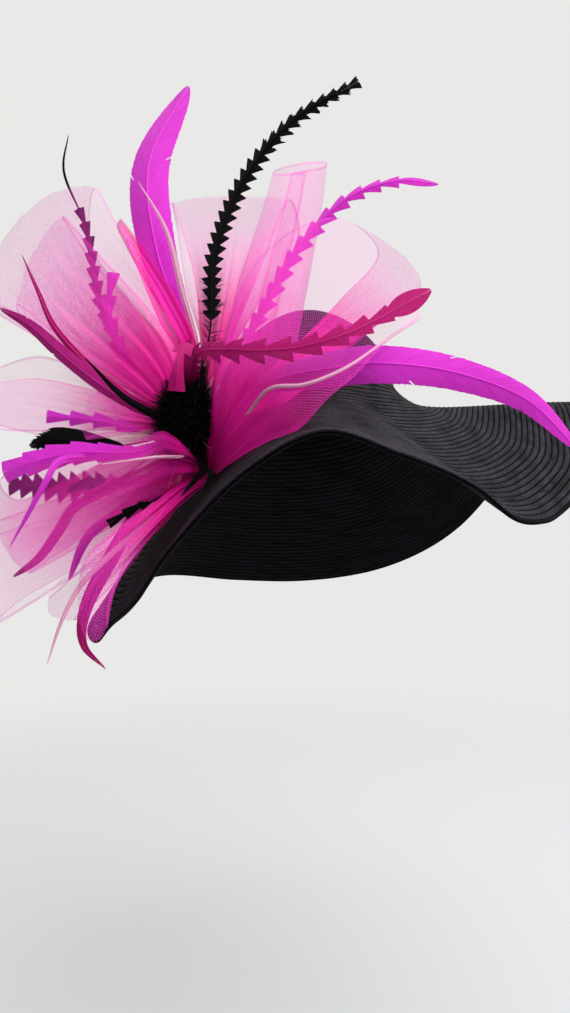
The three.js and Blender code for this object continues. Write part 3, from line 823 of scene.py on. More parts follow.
@dataclass(frozen=True)
class Loop:
    """One loop of crin band, out from the pad, over at its fold and back.

    Attributes:
        name: Name of the piece.
        node: The solid it stands for.
        root: Where on the pad it is gathered, as a direction from the pad's middle.
        out_a: Sights along the band's first edge on the way out, to the fold's corner.
        out_b: The same for its second edge.
        back_a: Sights along the first edge on the way back.
        back_b: The same for the second edge.
        fold: Sight of the fold's middle.
        flat: Width and length of the band before it was gathered.
        bow: How far the band's middle bulges away from its edges.
        pleats: How many pleats the gather makes.
        dense: How much closer its threads lie than in a band gathered once.
        tuck: How much more they crowd along the second edge, near the gather.
    """

    name: str
    node: str
    root: Point
    out_a: tuple[Point, ...]
    out_b: tuple[Point, ...]
    back_a: tuple[Point, ...]
    back_b: tuple[Point, ...]
    fold: Point
    flat: tuple[float, float]
    bow: float = 6.0
    pleats: int = 7
    dense: float = 1.0
    tuck: float = 0.0


LOOPS = (
    Loop(
        "crin_upper_left", "net_loop_upper_left", (-0.75, 0.0, 0.7),
        out_a=((193, 352, -112), (176, 298, -108), (150, 262, -104), (120, 229, -96), (95, 188, -80)),
        out_b=((150, 405, -120), (95, 372, -122), (40, 340, -108), (-2, 315, -88), (-27, 300, -62)),
        back_a=((92, 245, -50), (130, 300, -56), (170, 350, -70)),
        back_b=((10, 312, -48), (60, 352, -56), (130, 392, -72)),
        fold=(36, 222, -70), flat=(122, 430), bow=10, pleats=8),
    Loop(
        "crin_upper_left_inner", "net_loop_upper_left", (-0.7, 0.1, 0.7),
        out_a=((186, 360, -96), (150, 310, -86), (112, 268, -78), (84, 238, -72), (63, 215, -66)),
        out_b=((160, 400, -98), (105, 372, -92), (60, 350, -84), (28, 330, -76), (17, 306, -66)),
        back_a=((90, 256, -58), (140, 316, -66)),
        back_b=((50, 330, -58), (120, 380, -68)),
        fold=(36, 258, -62), flat=(70, 370), bow=4, pleats=5),
    Loop(
        "crin_narrow", "net_loop_narrow", (-0.35, -0.2, 0.85),
        out_a=((180, 356, -172), (160, 322, -186), (143, 282, -192), (127, 240, -192)),
        out_b=((198, 348, -172), (178, 300, -184), (154, 262, -188), (122, 220, -178)),
        back_a=((146, 284, -176), (180, 345, -160)),
        back_b=((158, 270, -170), (190, 335, -158)),
        fold=(120, 226, -180), flat=(27, 260), bow=2, pleats=3, dense=2.4),
    Loop(
        "crin_back", "net_loop_back", (-0.1, 0.45, 0.9),
        out_a=((205, 380, -92), (200, 330, -84), (196, 290, -74), (186, 246, -56), (171, 203, -34)),
        out_b=((222, 380, -96), (236, 330, -90), (252, 290, -80), (268, 250, -56), (292, 200, -22)),
        back_a=((176, 225, -6), (186, 290, -26), (200, 350, -56)),
        back_b=((300, 235, -4), (262, 300, -40), (224, 360, -66)),
        fold=(228, 206, -20), flat=(90, 440), bow=8, pleats=6),
    Loop(
        "crin_right", "net_loop_right", (0.45, -0.35, -0.8),
        out_a=((211, 440, -132), (213, 405, -140), (214, 372, -150), (228, 322, -140),
               (256, 262, -118), (300, 226, -104), (344, 219, -92)),
        out_b=((214, 473, -132), (226, 467, -164), (249, 452, -199), (272, 440, -224),
               (300, 429, -250), (330, 397, -262), (352, 379, -262), (386, 343, -246),
               (419, 316, -190)),
        back_a=((378, 252, -76), (340, 300, -80), (270, 370, -104)),
        back_b=((402, 296, -130), (366, 330, -110), (290, 400, -128)),
        fold=(386, 272, -130), flat=(115, 540), bow=12, pleats=9, dense=1.1, tuck=3.0),
    Loop(
        "crin_left", "net_loop_left", (-0.95, 0.35, 0.35),
        out_a=((150, 412, -82), (118, 396, -72), (80, 386, -62), (34, 378, -54), (-24, 385, -45)),
        out_b=((150, 440, -92), (112, 446, -88), (70, 442, -82), (20, 431, -76), (-8, 424, -70)),
        back_a=((-10, 372, -30), (40, 356, -30), (110, 385, -50)),
        back_b=((0, 430, -46), (48, 432, -46), (118, 430, -62)),
        fold=(-24, 404, -56), flat=(62, 390), bow=6, pleats=5),
    Loop(
        "crin_short", "net_loop_short", (-0.8, -0.5, 0.3),
        out_a=((160, 412, -140), (134, 402, -152), (110, 396, -160), (98, 391, -165)),
        out_b=((160, 432, -142), (132, 434, -158), (106, 438, -162), (86, 440, -160)),
        back_a=((118, 398, -140), (150, 414, -128)),
        back_b=((110, 434, -140), (146, 430, -128)),
        fold=(88, 414, -165), flat=(36, 170), bow=4, pleats=4),
    Loop(
        "crin_middle_left", "net_loop_middle_left", (0.3, -0.45, -0.8),
        out_a=((200, 461, -140), (190, 450, -172), (176, 438, -200), (161, 432, -216),
               (136, 443, -226), (109, 453, -222), (66, 460, -200), (0, 478, -160)),
        out_b=((202, 478, -130), (190, 488, -146), (170, 497, -160), (140, 513, -172),
               (104, 532, -178), (64, 556, -174), (30, 574, -164)),
        back_a=((20, 500, -118), (80, 474, -112), (140, 446, -114)),
        back_b=((50, 560, -140), (112, 520, -130), (165, 486, -124)),
        fold=(8, 532, -158), flat=(68, 385), bow=6, pleats=6, dense=1.5),
    Loop(
        "crin_lower_left", "net_loop_lower_left", (0.2, -0.2, -0.95),
        out_a=((192, 462, -118), (170, 468, -118), (130, 478, -116), (90, 498, -110),
               (40, 520, -98), (-32, 540, -85)),
        out_b=((203, 480, -124), (186, 500, -140), (158, 522, -158), (112, 556, -166),
               (64, 584, -158), (31, 605, -146), (-6, 626, -132)),
        back_a=((-20, 528, -62), (40, 505, -70), (120, 478, -84)),
        back_b=((20, 600, -92), (70, 570, -98), (130, 520, -104)),
        fold=(-30, 590, -100), flat=(84, 450), bow=9, pleats=7),
    Loop(
        "crin_front", "net_loop_front", (0.45, -0.3, -0.85),
        out_a=((200, 470, -140), (176, 486, -170), (146, 508, -196), (112, 532, -212),
               (84, 560, -218), (80, 606, -215)),
        out_b=((205, 481, -130), (190, 497, -160), (167, 518, -186), (144, 546, -206),
               (128, 566, -216), (113, 594, -224), (108, 622, -225)),
        back_a=((92, 580, -196), (130, 520, -180), (176, 486, -150)),
        back_b=((120, 570, -206), (150, 530, -192), (186, 496, -156)),
        fold=(92, 634, -222), flat=(30, 370), bow=4, pleats=4, dense=1.7),
    Loop(
        "crin_hem", "net_loop_hem", (-0.6, 0.1, -0.85),
        out_a=((168, 494, -112), (130, 524, -104), (90, 556, -98), (60, 580, -100), (50, 596, -103)),
        out_b=((176, 510, -118), (140, 548, -112), (110, 580, -108), (90, 604, -112), (76, 620, -120)),
        back_a=((74, 574, -86), (120, 532, -88)),
        back_b=((100, 598, -100), (140, 552, -100)),
        fold=(56, 612, -112), flat=(38, 310), bow=4, pleats=4),
)


def crin_sheet(name: str, node: str, flat: tuple[float, float], points: np.ndarray,
               crowd: np.ndarray, finish: Material,
               hemmed: bool = False) -> Object:
    """Makes a piece of crin band, with its threads laid out on it.

    Args:
        name: Name of the piece.
        node: The solid it stands for.
        flat: Width and length of the band before it was gathered.
        points: Its grid of points, row by row along the band.
        crowd: How much closer the threads lie at each point than in flat band.
        finish: The crin's material.
        hemmed: True where the far end has a selvage too.
    """
    width, length = flat
    rows, columns = points.shape[:2]
    across, along = np.meshgrid(
        np.linspace(0, 1, columns) * width, np.linspace(0, 1, rows) * length)
    edge = np.minimum(across, width - across)
    if hemmed:
        edge = np.minimum(edge, length - along)
    faces = grid_faces(rows, columns)
    pattern = np.stack([across, along], axis=-1).reshape(-1, 2)
    piece = add_mesh(name, points.reshape(-1, 3), faces,
                     pattern[faces.ravel()], {"crowd": crowd, "edge": edge})
    declare(piece, node, "crin_net", finish)
    return piece


class CrinBand:
    """A loop of crin as a pleated sheet.

    Attributes:
        STEPS: Faces along the band.
        STRIPS: Faces across it.
        SEAT: Share of the way to the pad's surface at which the band is gathered.
        GATHER: Width of the gathered band.
        HOME: Step from where the band leaves the gather to where it comes back.
        FOLD_REACH: Share of the length over which the fold's middle is pulled to its sight.
        ORDERS: Waves across the band in each ripple, as a share of its pleats.
        HEIGHTS: Limits of a ripple's height, and what is added to its order to divide it.
        DEPTH: Depth of the ripples beside the gather and everywhere.
        TUCKED: How fast the second edge's crowding grows towards the gather, and its start.
        FOLDS: How much closer the threads lie at the gather than at the fold.
        PACKED: How close the threads can get.
    """

    STEPS = 110
    STRIPS = 44
    SEAT = 0.8
    GATHER = 15.0
    HOME = (0.0, 3.0, 0.0)
    FOLD_REACH = 0.2
    ORDERS = (0.5, 1.0, 1.6)
    HEIGHTS = (0.6, 1.0, 0.7)
    DEPTH = (5.2, 0.5)
    TUCKED = (2.2, 0.4)
    FOLDS = 2.2
    PACKED = 6.0

    def __init__(self, loop: Loop) -> None:
        """Keeps the loop, and draws its chances from its name."""
        self.loop = loop
        self.chance = random.Random(loop.name)

    def _edges(self) -> tuple[np.ndarray, np.ndarray]:
        """Returns the band's two edges, point by point from root to root."""
        loop = self.loop
        gather = PAD.point(loop.root, self.SEAT)
        corners = [CAMERA.point(sights[-1]) for sights in (loop.out_a, loop.out_b)]
        out = unit((corners[0] + corners[1]) / 2 - gather)
        across = corners[0] - corners[1]
        spread = unit(across - out * np.dot(across, out)) * self.GATHER / 2
        edges = []
        ways_round = ((loop.out_a, loop.back_a, 1), (loop.out_b, loop.back_b, -1))
        for sights, returning, sign in ways_round:
            root = gather + spread * sign
            ways = [CAMERA.point(sight) for sight in (*sights, *returning)]
            spline = Spline([root, *ways, root + np.array(self.HOME)])
            fold = spline.mark(len(sights))
            shares = np.linspace(0, 1, self.STEPS + 1)
            distance = np.where(shares < 0.5, shares * 2 * fold,
                                fold + (shares * 2 - 1) * (spline.length - fold))
            edges.append(spline.at(distance))
        return edges[0], edges[1]

    def grid(self) -> np.ndarray:
        """Returns the band's points, step by step and strip by strip."""
        first, second = self._edges()
        shares = np.linspace(0, 1, self.STEPS + 1)[:, None, None]
        t = np.linspace(0, 1, self.STRIPS + 1)[None, :, None]
        base = first[:, None] * (1 - t) + second[:, None] * t
        middle = (first[self.STEPS // 2] + second[self.STEPS // 2]) / 2
        bulge = CAMERA.point(self.loop.fold) - middle
        near_fold = np.exp(-((shares - 0.5) / self.FOLD_REACH) ** 2)
        base = base + bulge * near_fold * 4 * t * (1 - t)
        along = np.gradient(base, axis=0)
        across = np.gradient(base, axis=1)
        normal = unit(np.cross(along, across))
        facing = np.sign(normal[self.STEPS // 4, self.STRIPS // 2] @ np.array([0.0, -1.0, 0.0]))
        normal = normal * (facing if facing else 1.0)
        bow = self.loop.bow * 4 * t * (1 - t) * np.sin(np.pi * shares) ** 0.8
        gather = np.abs(2 * shares - 1)
        ripple = np.zeros_like(t)
        least, most, calm = self.HEIGHTS
        for order in self.ORDERS:
            phase = self.chance.uniform(0, 2 * math.pi)
            height = self.chance.uniform(least, most) / (calm + order)
            ripple = ripple + height * np.sin(2 * math.pi * order * self.loop.pleats * t + phase)
        depth = self.DEPTH[0] * gather**2 * (1.05 - gather) + self.DEPTH[1]
        return base + normal * (bow + ripple * depth)

    def build(self, finish: Material) -> Object:
        """Makes the loop."""
        points = self.grid()
        steps = np.linalg.norm(np.diff(points, axis=1), axis=-1).sum(axis=1)
        nearness = np.abs(np.linspace(-1, 1, self.STEPS + 1))
        bunched = self.loop.flat[0] / steps * (1 + self.FOLDS * nearness ** 1.6) * self.loop.dense
        shares = np.linspace(0, 1, self.STEPS + 1)
        t = np.linspace(0, 1, self.STRIPS + 1)
        growth, start = self.TUCKED
        tucked = np.where(shares < 0.5, np.clip(nearness * growth - start, 0, 1), 0.0)
        crowd = bunched[:, None] * (1 + self.loop.tuck * tucked[:, None] * t**2)
        crowd = np.clip(crowd, 1.0, self.PACKED)
        return crin_sheet(self.loop.name, self.loop.node, self.loop.flat, points, crowd, finish)


@dataclass(frozen=True)
class Funnel:
    """The tall rolled loop of crin: an open funnel standing up from the pad.

    Attributes:
        rings: Middle, half width and half depth of each ring, from the gather upwards.
        flat: Width and length of the band before it was rolled.
        span: Where round the funnel the band starts and ends, in turns.
        lapped: From where on its end lies inside its start, and by what share.
        pleat: Depth of the pleats at the gather, as a share, and how many go round.
        flare: How much higher the rim stands at the back and at the side.
        steps: Rings of faces.
        sides: Faces round each ring.
    """

    rings: tuple[tuple[float, float, float, float, float], ...] = (
        (-84.0, -110.0, -38.0, 4.0, 3.0), (-77.0, -122.0, -50.0, 5.0, 4.0),
        (-68.0, -138.0, -44.0, 5.6, 6.0), (-56.0, -158.0, -33.0, 11.1, 9.0),
        (-47.0, -175.0, -17.0, 18.5, 12.0), (-41.0, -182.0, 2.0, 22.4, 14.0),
        (-35.0, -180.0, 25.0, 23.1, 15.0), (-26.0, -166.0, 72.0, 23.5, 16.0),
        (-14.0, -148.0, 126.0, 20.9, 16.0), (-8.0, -136.0, 160.0, 19.0, 15.5),
    )
    flat: tuple[float, float] = (150.0, 250.0)
    span: tuple[float, float] = (0.21, 1.31)
    lapped: tuple[float, float] = (1.15, 0.1)
    pleat: tuple[float, int] = (0.1, 11)
    flare: tuple[float, float] = (4.0, 3.0)
    steps: int = 90
    sides: int = 72

    def build(self, finish: Material) -> Object:
        """Makes the funnel, with the band's ends lapped at its back."""
        rings = np.array(self.rings)
        spine = Spline(rings[:, :3])
        marks = [spine.mark(i) for i in range(len(rings))]
        distance = np.linspace(0, spine.length, self.steps + 1)
        centre = spine.at(distance)
        half_width = np.interp(distance, marks, rings[:, 3])
        half_depth = np.interp(distance, marks, rings[:, 4])
        turn = np.linspace(*self.span, self.sides + 1) * 2 * math.pi
        share = (distance / spine.length)[:, None]
        lap = 1 - self.lapped[1] * (turn > self.lapped[0] * 2 * math.pi)
        pleat = 1 + self.pleat[0] * (1 - share) ** 2 * np.sin(self.pleat[1] * turn)
        x = centre[:, None, 0] + half_width[:, None] * np.cos(turn) * lap * pleat
        y = centre[:, None, 1] + half_depth[:, None] * np.sin(turn) * lap * pleat
        rim = share ** 3 * (self.flare[0] * np.sin(turn) + self.flare[1] * np.cos(turn))
        z = centre[:, None, 2] + rim
        points = np.stack([x, y, z + 0 * x], axis=-1)
        around = np.linalg.norm(np.diff(points, axis=1), axis=-1).sum(axis=1)
        bunched = self.flat[0] / around * (1 + CrinBand.FOLDS * (1 - share[:, 0]) ** 1.3)
        crowd = np.repeat(np.clip(bunched, 1, CrinBand.PACKED)[:, None], self.sides + 1, axis=1)
        return crin_sheet("crin_rolled", "net_loop_rolled", self.flat, points, crowd, finish,
                          hemmed=True)


@dataclass(frozen=True)
class CrinFinish:
    """Sheer magenta crin: threads on the bias, closer where the band is gathered.

    Attributes:
        pitch: Spacing of the threads across the bias.
        thread: Share of the pitch that one thread covers.
        selvage: Width of a band's selvage, and how much of it covers.
        crowded: Crowding at which the threads start to close up and are closed, for the cover.
        shade_crowding: The same for the painted shade between the crowded threads.
        closed: Cover of net that is closed up.
        streak_scale: Scale of the fine folds, across the band and along it.
        streaks: Noise at which a fold starts and is full.
        tones: Flat net, gathered net darkened with painted shade between its threads, and its folds
            lightened with a painted highlight, as sRGB.
        relief: Depth of the folds' relief in metres, and its strength.
    """

    pitch: float = 1.2
    thread: float = 0.072
    selvage: tuple[float, float] = (2.0, 0.28)
    crowded: tuple[float, float] = (1.3, 4.0)
    shade_crowding: tuple[float, float] = (1.0, 3.2)
    closed: float = 0.9
    streak_scale: tuple[float, float] = (0.3, 0.008)
    streaks: tuple[float, float] = (0.35, 0.75)
    tones: tuple[str, str, str] = ("#fc4cda", "#f80ea0", "#ff38c8")
    relief: tuple[float, float] = (0.001, 0.35)

    def make(self) -> Material:
        """Makes the material."""
        finish = Finish("magenta_crin")
        vector, across, along = finish.pattern()
        crowd = finish.attribute("crowd")
        half_thread = finish.times(crowd, self.thread / 2)
        covered = []
        for way in ("ADD", "SUBTRACT"):
            bias = finish.math(way, across, along)
            cell = finish.math("FRACT", finish.math("DIVIDE", bias, self.pitch * math.sqrt(2)))
            off = finish.math("ABSOLUTE", finish.math("SUBTRACT", cell, 0.5))
            covered.append(finish.math("LESS_THAN", off, half_thread))
        streak = finish.noise(finish.scaled(vector, *self.streak_scale), 1.0, 3.0)
        fold = finish.times(finish.spread(streak, *self.streaks), 0.5)
        gathered = finish.times(finish.spread(crowd, *self.crowded), finish.plus(fold, 0.5))
        wide, cover = self.selvage
        selvage = finish.math("LESS_THAN", finish.attribute("edge"), wide)
        alpha = finish.math("MAXIMUM", *covered)
        alpha = finish.math("MAXIMUM", alpha, finish.times(selvage, cover))
        finish.join("Alpha", finish.math("MAXIMUM", alpha, finish.times(gathered, self.closed)))
        # Gathered net is darkened with painted shade between its crowded threads, and the fine folds
        # are lightened with a painted highlight.
        flat_net, shaded_gathered_net, fold_highlight = map(colour, self.tones)
        tone = finish.mix(finish.spread(crowd, *self.shade_crowding), flat_net, shaded_gathered_net)
        finish.join("Base Color", finish.mix(finish.times(fold, 1.2), tone, fold_highlight))
        finish.set("Roughness", 0.5)
        finish.set("Specular IOR Level", 0.2)
        finish.bump(streak, *self.relief)
        return finish.material


# Feathers


class Cut(Enum):
    """How a feather is trimmed: broad, narrow, or cut into arrow heads."""

    BLADE = "blade"
    BIOT = "biot"
    ARROW = "arrow"


class Dye(Enum):
    """A feather's colour: name of its slot, light tone and dark tone."""

    BLACK = ("feather_black", "#050506", "#010102")
    MAGENTA = ("feather_magenta", "#ff38f2", "#e004ca")
    # Painted shade: the magenta slot's tones made darker for coque_left.
    SHADED_MAGENTA = ("feather_magenta", "#d00c92", "#8e0458")
    WINE = ("feather_wine", "#d20480", "#a4005c")
    PINK = ("feather_pink", "#ffc6e2", "#ff9ccc")


@dataclass(frozen=True)
class Feather:
    """One feather on its quill.

    Attributes:
        name: Name of the piece.
        cut: How it is trimmed.
        dye: Its colour.
        width: Across its widest part.
        path: From just off the pad to the tip, in millimetres.
        teeth: Notches down each side of an arrow cut.
        turn: Degrees that its face is turned about the quill.
        twist: Degrees more that it turns by its tip.
        under: Point that its stem passes on its way from the pad, under the crin there.
        tip: Share of the length that is untrimmed at the tip, and its width.
        taper: Share of the vane over which an arrow cut widens from its root.
        waist: Share of the width that an arrow cut keeps in its notches.
        bare: Share of the length that is bare stem, where it differs from the cut's.
        peak: Exponent that sets where it is widest, where it differs from the cut's.
        wisps: How many loose barbs stand out below the vane.
        frayed: True for a soft, split tip.
        solid: The solid it stands for, where that has another name.
    """

    name: str
    cut: Cut
    dye: Dye
    width: float
    path: tuple[Point, ...]
    teeth: int = 0
    turn: float = 0.0
    twist: float = 0.0
    under: Point | None = None
    tip: tuple[float, float] = (0.0, 0.0)
    taper: float = 0.0
    waist: float = 0.3
    bare: float = 0.0
    peak: float = 0.0
    wisps: int = 0
    frayed: bool = False
    solid: str = ""

    @property
    def node(self) -> str:
        """The solid it stands for."""
        return self.solid or self.name


FEATHERS = (
    Feather("spine_black", Cut.ARROW, Dye.BLACK, 16, (
        (-75, -100, 55), (-73, -90, 115), (-50, -85, 175), (-13, -90, 217), (37, -100, 242)),
        teeth=26, wisps=60, frayed=True, solid="quill_black_spine"),
    Feather("quill_upper_right", Cut.ARROW, Dye.MAGENTA, 16, (
        (-63, -82, 28), (-37, -68, 78), (-7, -62, 131), (33, -66, 169), (71, -75, 178),
        (101, -80, 173)), teeth=13, turn=15, tip=(0.14, 7)),
    Feather("quill_across", Cut.ARROW, Dye.WINE, 15, (
        (-73, -205, 14), (-51, -240, 10), (-31, -252, 7), (-11, -256, 8), (11, -256, 14),
        (31, -250, 24), (51, -240, 37), (65, -232, 46)), teeth=12, tip=(0.15, 12)),
    Feather("quill_drooping", Cut.ARROW, Dye.WINE, 12, (
        (-78, -196, 23), (-81, -214, 13), (-82, -220, 2), (-83, -218, -10)), teeth=4),
    Feather("coque_upright", Cut.BLADE, Dye.MAGENTA, 27, (
        (-85, -167, 35), (-102, -175, 88), (-110, -160, 151), (-87, -135, 218)), twist=10),
    Feather("biot_pink_upright", Cut.BIOT, Dye.PINK, 3.4, (
        (-77, -168, 28), (-85, -182, 61), (-94, -184, 97), (-114, -175, 133)),
        under=(-80, -140, 0)),
    Feather("coque_long_right", Cut.BLADE, Dye.MAGENTA, 22, (
        (-56, -140, -2), (-34, -172, 2), (-10, -204, 3), (13, -226, 3), (33, -232, 4),
        (80, -221, 1), (123, -220, -15), (148, -235, -46)), peak=0.85),
    Feather("biot_pink_right", Cut.BIOT, Dye.PINK, 1.8, (
        (-54, -164, -26), (-41, -206, -21), (-25, -258, -14), (-8, -268, -14), (12, -268, -6),
        (35, -256, 11), (58, -240, 28)),
        under=(-68, -148, -38)),
    Feather("biot_wine_left", Cut.BIOT, Dye.WINE, 4.6, (
        (-120, -198, -7), (-140, -198, 9), (-162, -198, 34), (-172, -195, 55),
        (-184, -190, 80))),
    Feather("coque_left", Cut.BLADE, Dye.SHADED_MAGENTA, 9, (
        (-113, -205, -15), (-132, -207, -3), (-156, -203, 16), (-178, -195, 35),
        (-200, -185, 48)), turn=10),
    Feather("biot_black_left", Cut.BIOT, Dye.BLACK, 5, (
        (-99, -207, -22), (-117, -210, -11), (-136, -220, 9))),
    Feather("coque_black", Cut.BLADE, Dye.BLACK, 18, (
        (-113, -140, -32), (-139, -140, -36), (-165, -142, -33), (-181, -142, -31),
        (-197, -140, -36)), bare=0.42, frayed=True),
    Feather("quill_flat_left", Cut.ARROW, Dye.MAGENTA, 19, (
        (-111, -185, -43), (-128, -190, -44), (-148, -190, -44), (-167, -188, -47),
        (-184, -184, -51), (-201, -178, -56)), teeth=8, taper=0.75, waist=0.78),
    Feather("quill_black_left", Cut.ARROW, Dye.BLACK, 27, (
        (-111, -112, -57), (-154, -114, -62), (-189, -110, -64), (-226, -102, -61)),
        teeth=11, taper=0.4),
    Feather("biot_magenta_left", Cut.BIOT, Dye.MAGENTA, 4.6, (
        (-113, -175, -41), (-142, -188, -46), (-157, -206, -51), (-161, -212, -61),
        (-172, -210, -80), (-188, -200, -103))),
    Feather("quill_short_left", Cut.ARROW, Dye.MAGENTA, 12, (
        (-125, -113, -21), (-154, -113, -15), (-196, -107, -11)), teeth=4),
    Feather("coque_wine_lower", Cut.BLADE, Dye.WINE, 8, (
        (-156, -75, -63), (-185, -75, -79), (-196, -80, -98), (-213, -75, -119),
        (-235, -68, -134))),
    Feather("quill_black_short", Cut.ARROW, Dye.BLACK, 8, (
        (-88, -140, -60), (-100, -172, -70), (-113, -190, -79), (-129, -194, -89)),
        teeth=8, waist=0.4),
    Feather("biot_wine_lower", Cut.BIOT, Dye.WINE, 11, (
        (-138, -128, -105), (-155, -155, -151), (-155, -155, -172), (-140, -155, -188))),
    Feather("biot_pink_lower", Cut.BIOT, Dye.PINK, 3.6, (
        (-101, -150, -72), (-107, -178, -87), (-124, -190, -104), (-144, -200, -126),
        (-154, -205, -146), (-165, -200, -175))),
    Feather("coque_lower", Cut.BLADE, Dye.MAGENTA, 7, (
        (-135, -113, -77), (-162, -118, -100), (-177, -115, -132))),
    Feather("biot_black_right", Cut.BIOT, Dye.BLACK, 7, (
        (-70, -195, -55), (-73, -210, -62), (-80, -220, -72))),
    Feather("biot_pink_left", Cut.BIOT, Dye.PINK, 1.8, (
        (-83, -178, -44), (-96, -232, -50), (-122, -236, -54)), frayed=True),
    Feather("quill_black_upper", Cut.ARROW, Dye.BLACK, 13, (
        (-136, -60, 20), (-153, -48, 51), (-174, -38, 95), (-189, -26, 161), (-210, -18, 213),
        (-207, -14, 245)), teeth=12, tip=(0.3, 1.6), wisps=16),
    Feather("quill_upper_left", Cut.ARROW, Dye.MAGENTA, 14, (
        (-136, -67, 24), (-153, -65, 52), (-161, -61, 81), (-158, -57, 112)), teeth=6),
)


class Plume:
    """Builds a feather: a tapered quill with a vane of barbs on each side.

    Attributes:
        SEAT: Share of the way to the pad's surface at which the quill starts.
        PITCH: Distance between two barbs.
        SEGMENTS: Faces along a barb.
        QUILL_SIDES: Faces round the quill.
        TIP_GAP: How far from the quill's end the last barb may start.
        REACH: Longest barb that is tried, in widths of the feather.
        RAGGED: Shares that the barbs of a blade or biot are cut to.
        FRAYED: The same near a soft tip, and where that starts.
        SPLITS: Distance to a blade's first split, between two, and how far one opens.
        CLOSING: Share of a split's opening that the next barb keeps.
        ANGLES: Each cut's angle of the barbs at the root and at the tip.
        STARTS: Share of each cut's quill that is bare.
        TOOTH: Least size of a tooth, as a share, and how much the middle ones add to it.
        LEAF: Where the untrimmed tip's outline starts in its curve, and its fullness.
        ROOF: How steeply the vane falls from the quill, and how flat its curve is.
        STEM: The quill's least radius, what its root adds, that for each width, and its taper.
        WISP_ROOTS: Where loose barbs start, in shares of the bare stem.
        WISP_LENGTHS: Their lengths, as shares of the longest.
        WISP_SHARE: Length of the longest, in widths of the feather.
        WISP_ANGLES: Their angles in degrees.
        WISP_HALVES: Half thickness of a loose barb at its root, middle and tip.
        PEAKS: Exponents that set where an outline is widest and how full it is.
    """

    SEAT = 0.8
    PITCH = 0.8
    SEGMENTS = 5
    QUILL_SIDES = 6
    TIP_GAP = 0.4
    REACH = 2.2
    RAGGED = (0.95, 1.0)
    FRAYED = (0.75, 1.15, 0.6)
    SPLITS = ((20, 90), (50, 130), (0.5, 1.3))
    CLOSING = 0.72
    TOOTH = (0.6, 0.4)
    LEAF = (0.12, 0.7)
    ROOF = (0.16, 2.6)
    STEM = (0.2, 0.35, 0.012, 0.8)
    WISP_ROOTS = (0.55, 1.5)
    WISP_LENGTHS = (0.5, 1.1)
    WISP_SHARE = 0.8
    WISP_ANGLES = (25, 70)
    WISP_HALVES = (0.45, 0.35, 0.08)
    ANGLES = {Cut.BLADE: (42.0, 20.0), Cut.BIOT: (24.0, 12.0), Cut.ARROW: (46.0, 34.0)}
    STARTS = {Cut.BLADE: 0.2, Cut.BIOT: 0.12, Cut.ARROW: 0.2}
    PEAKS = {Cut.BLADE: (1.15, 0.55), Cut.BIOT: (0.85, 0.85)}

    def __init__(self, feather: Feather) -> None:
        """Lays the quill's curve, and draws the feather's chances from its name."""
        self.feather = feather
        self.chance = random.Random(feather.name)
        path = [np.array(point, dtype=float) for point in feather.path]
        if feather.under:
            path.insert(0, np.array(feather.under, dtype=float))
        path.insert(0, PAD.point(path[0] - np.array(PAD.centre), self.SEAT))
        self.spline = Spline(path)
        self.length = self.spline.length
        self.start = (feather.bare or self.STARTS[feather.cut]) * self.length
        self.vertices: list[np.ndarray] = []
        self.faces: list[tuple[int, ...]] = []
        self.pattern: list[tuple[float, float]] = []
        self.tints: list[int] = []

    def _outline(self, distance: np.ndarray) -> np.ndarray:
        """Returns the vane's half width at distances along the quill."""
        feather = self.feather
        share = np.clip((distance - self.start) / (self.length - self.start), 0, 1)
        if feather.cut is Cut.ARROW:
            plain, tip_width = feather.tip
            phase = share / (1 - plain) * feather.teeth
            tooth = np.floor(phase)
            least, added = self.TOOTH
            size = least + added * np.sin(np.pi * (1 + 3 * tooth / feather.teeth) / 4)
            size = size * np.clip(share / max(feather.taper, 1e-6), 0.2, 1)
            waist = feather.waist
            half = feather.width / 2 * size * (waist + (1 - waist) * (phase - tooth))
            leaf = np.clip((share - 1 + plain) / max(plain, 1e-6), 0, 1)
            first, fullness = self.LEAF
            end = tip_width / 2 * np.sin(np.pi * (first + (1 - first) * leaf)) ** fullness
            return np.where(share > 1 - plain, end, half)
        peak, fullness = self.PEAKS[feather.cut]
        return feather.width / 2 * np.sin(np.pi * share ** (feather.peak or peak)) ** fullness

    def _frame(self, distance: np.ndarray) -> tuple[np.ndarray, np.ndarray, np.ndarray]:
        """Returns the quill's points, and the directions across and out of the vane."""
        along = self.spline.along(distance)
        facing = np.array([0.0, -1.0, 0.0])
        side = unit(np.cross(along, facing))
        normal = np.cross(side, along)
        share = (distance / self.length)[..., None]
        angle = np.radians(self.feather.turn + self.feather.twist * share)
        across = side * np.cos(angle) + normal * np.sin(angle)
        return self.spline.at(distance), across, np.cross(across, along)

    def _place(self, distance: np.ndarray, offset: np.ndarray) -> np.ndarray:
        """Returns points of the vane by distance along the quill and offset from it."""
        point, across, normal = self._frame(distance)
        slope, flatness = self.ROOF
        roof = np.abs(offset) * slope + offset**2 / (self.feather.width * flatness)
        return point + across * offset[..., None] - normal * roof[..., None]

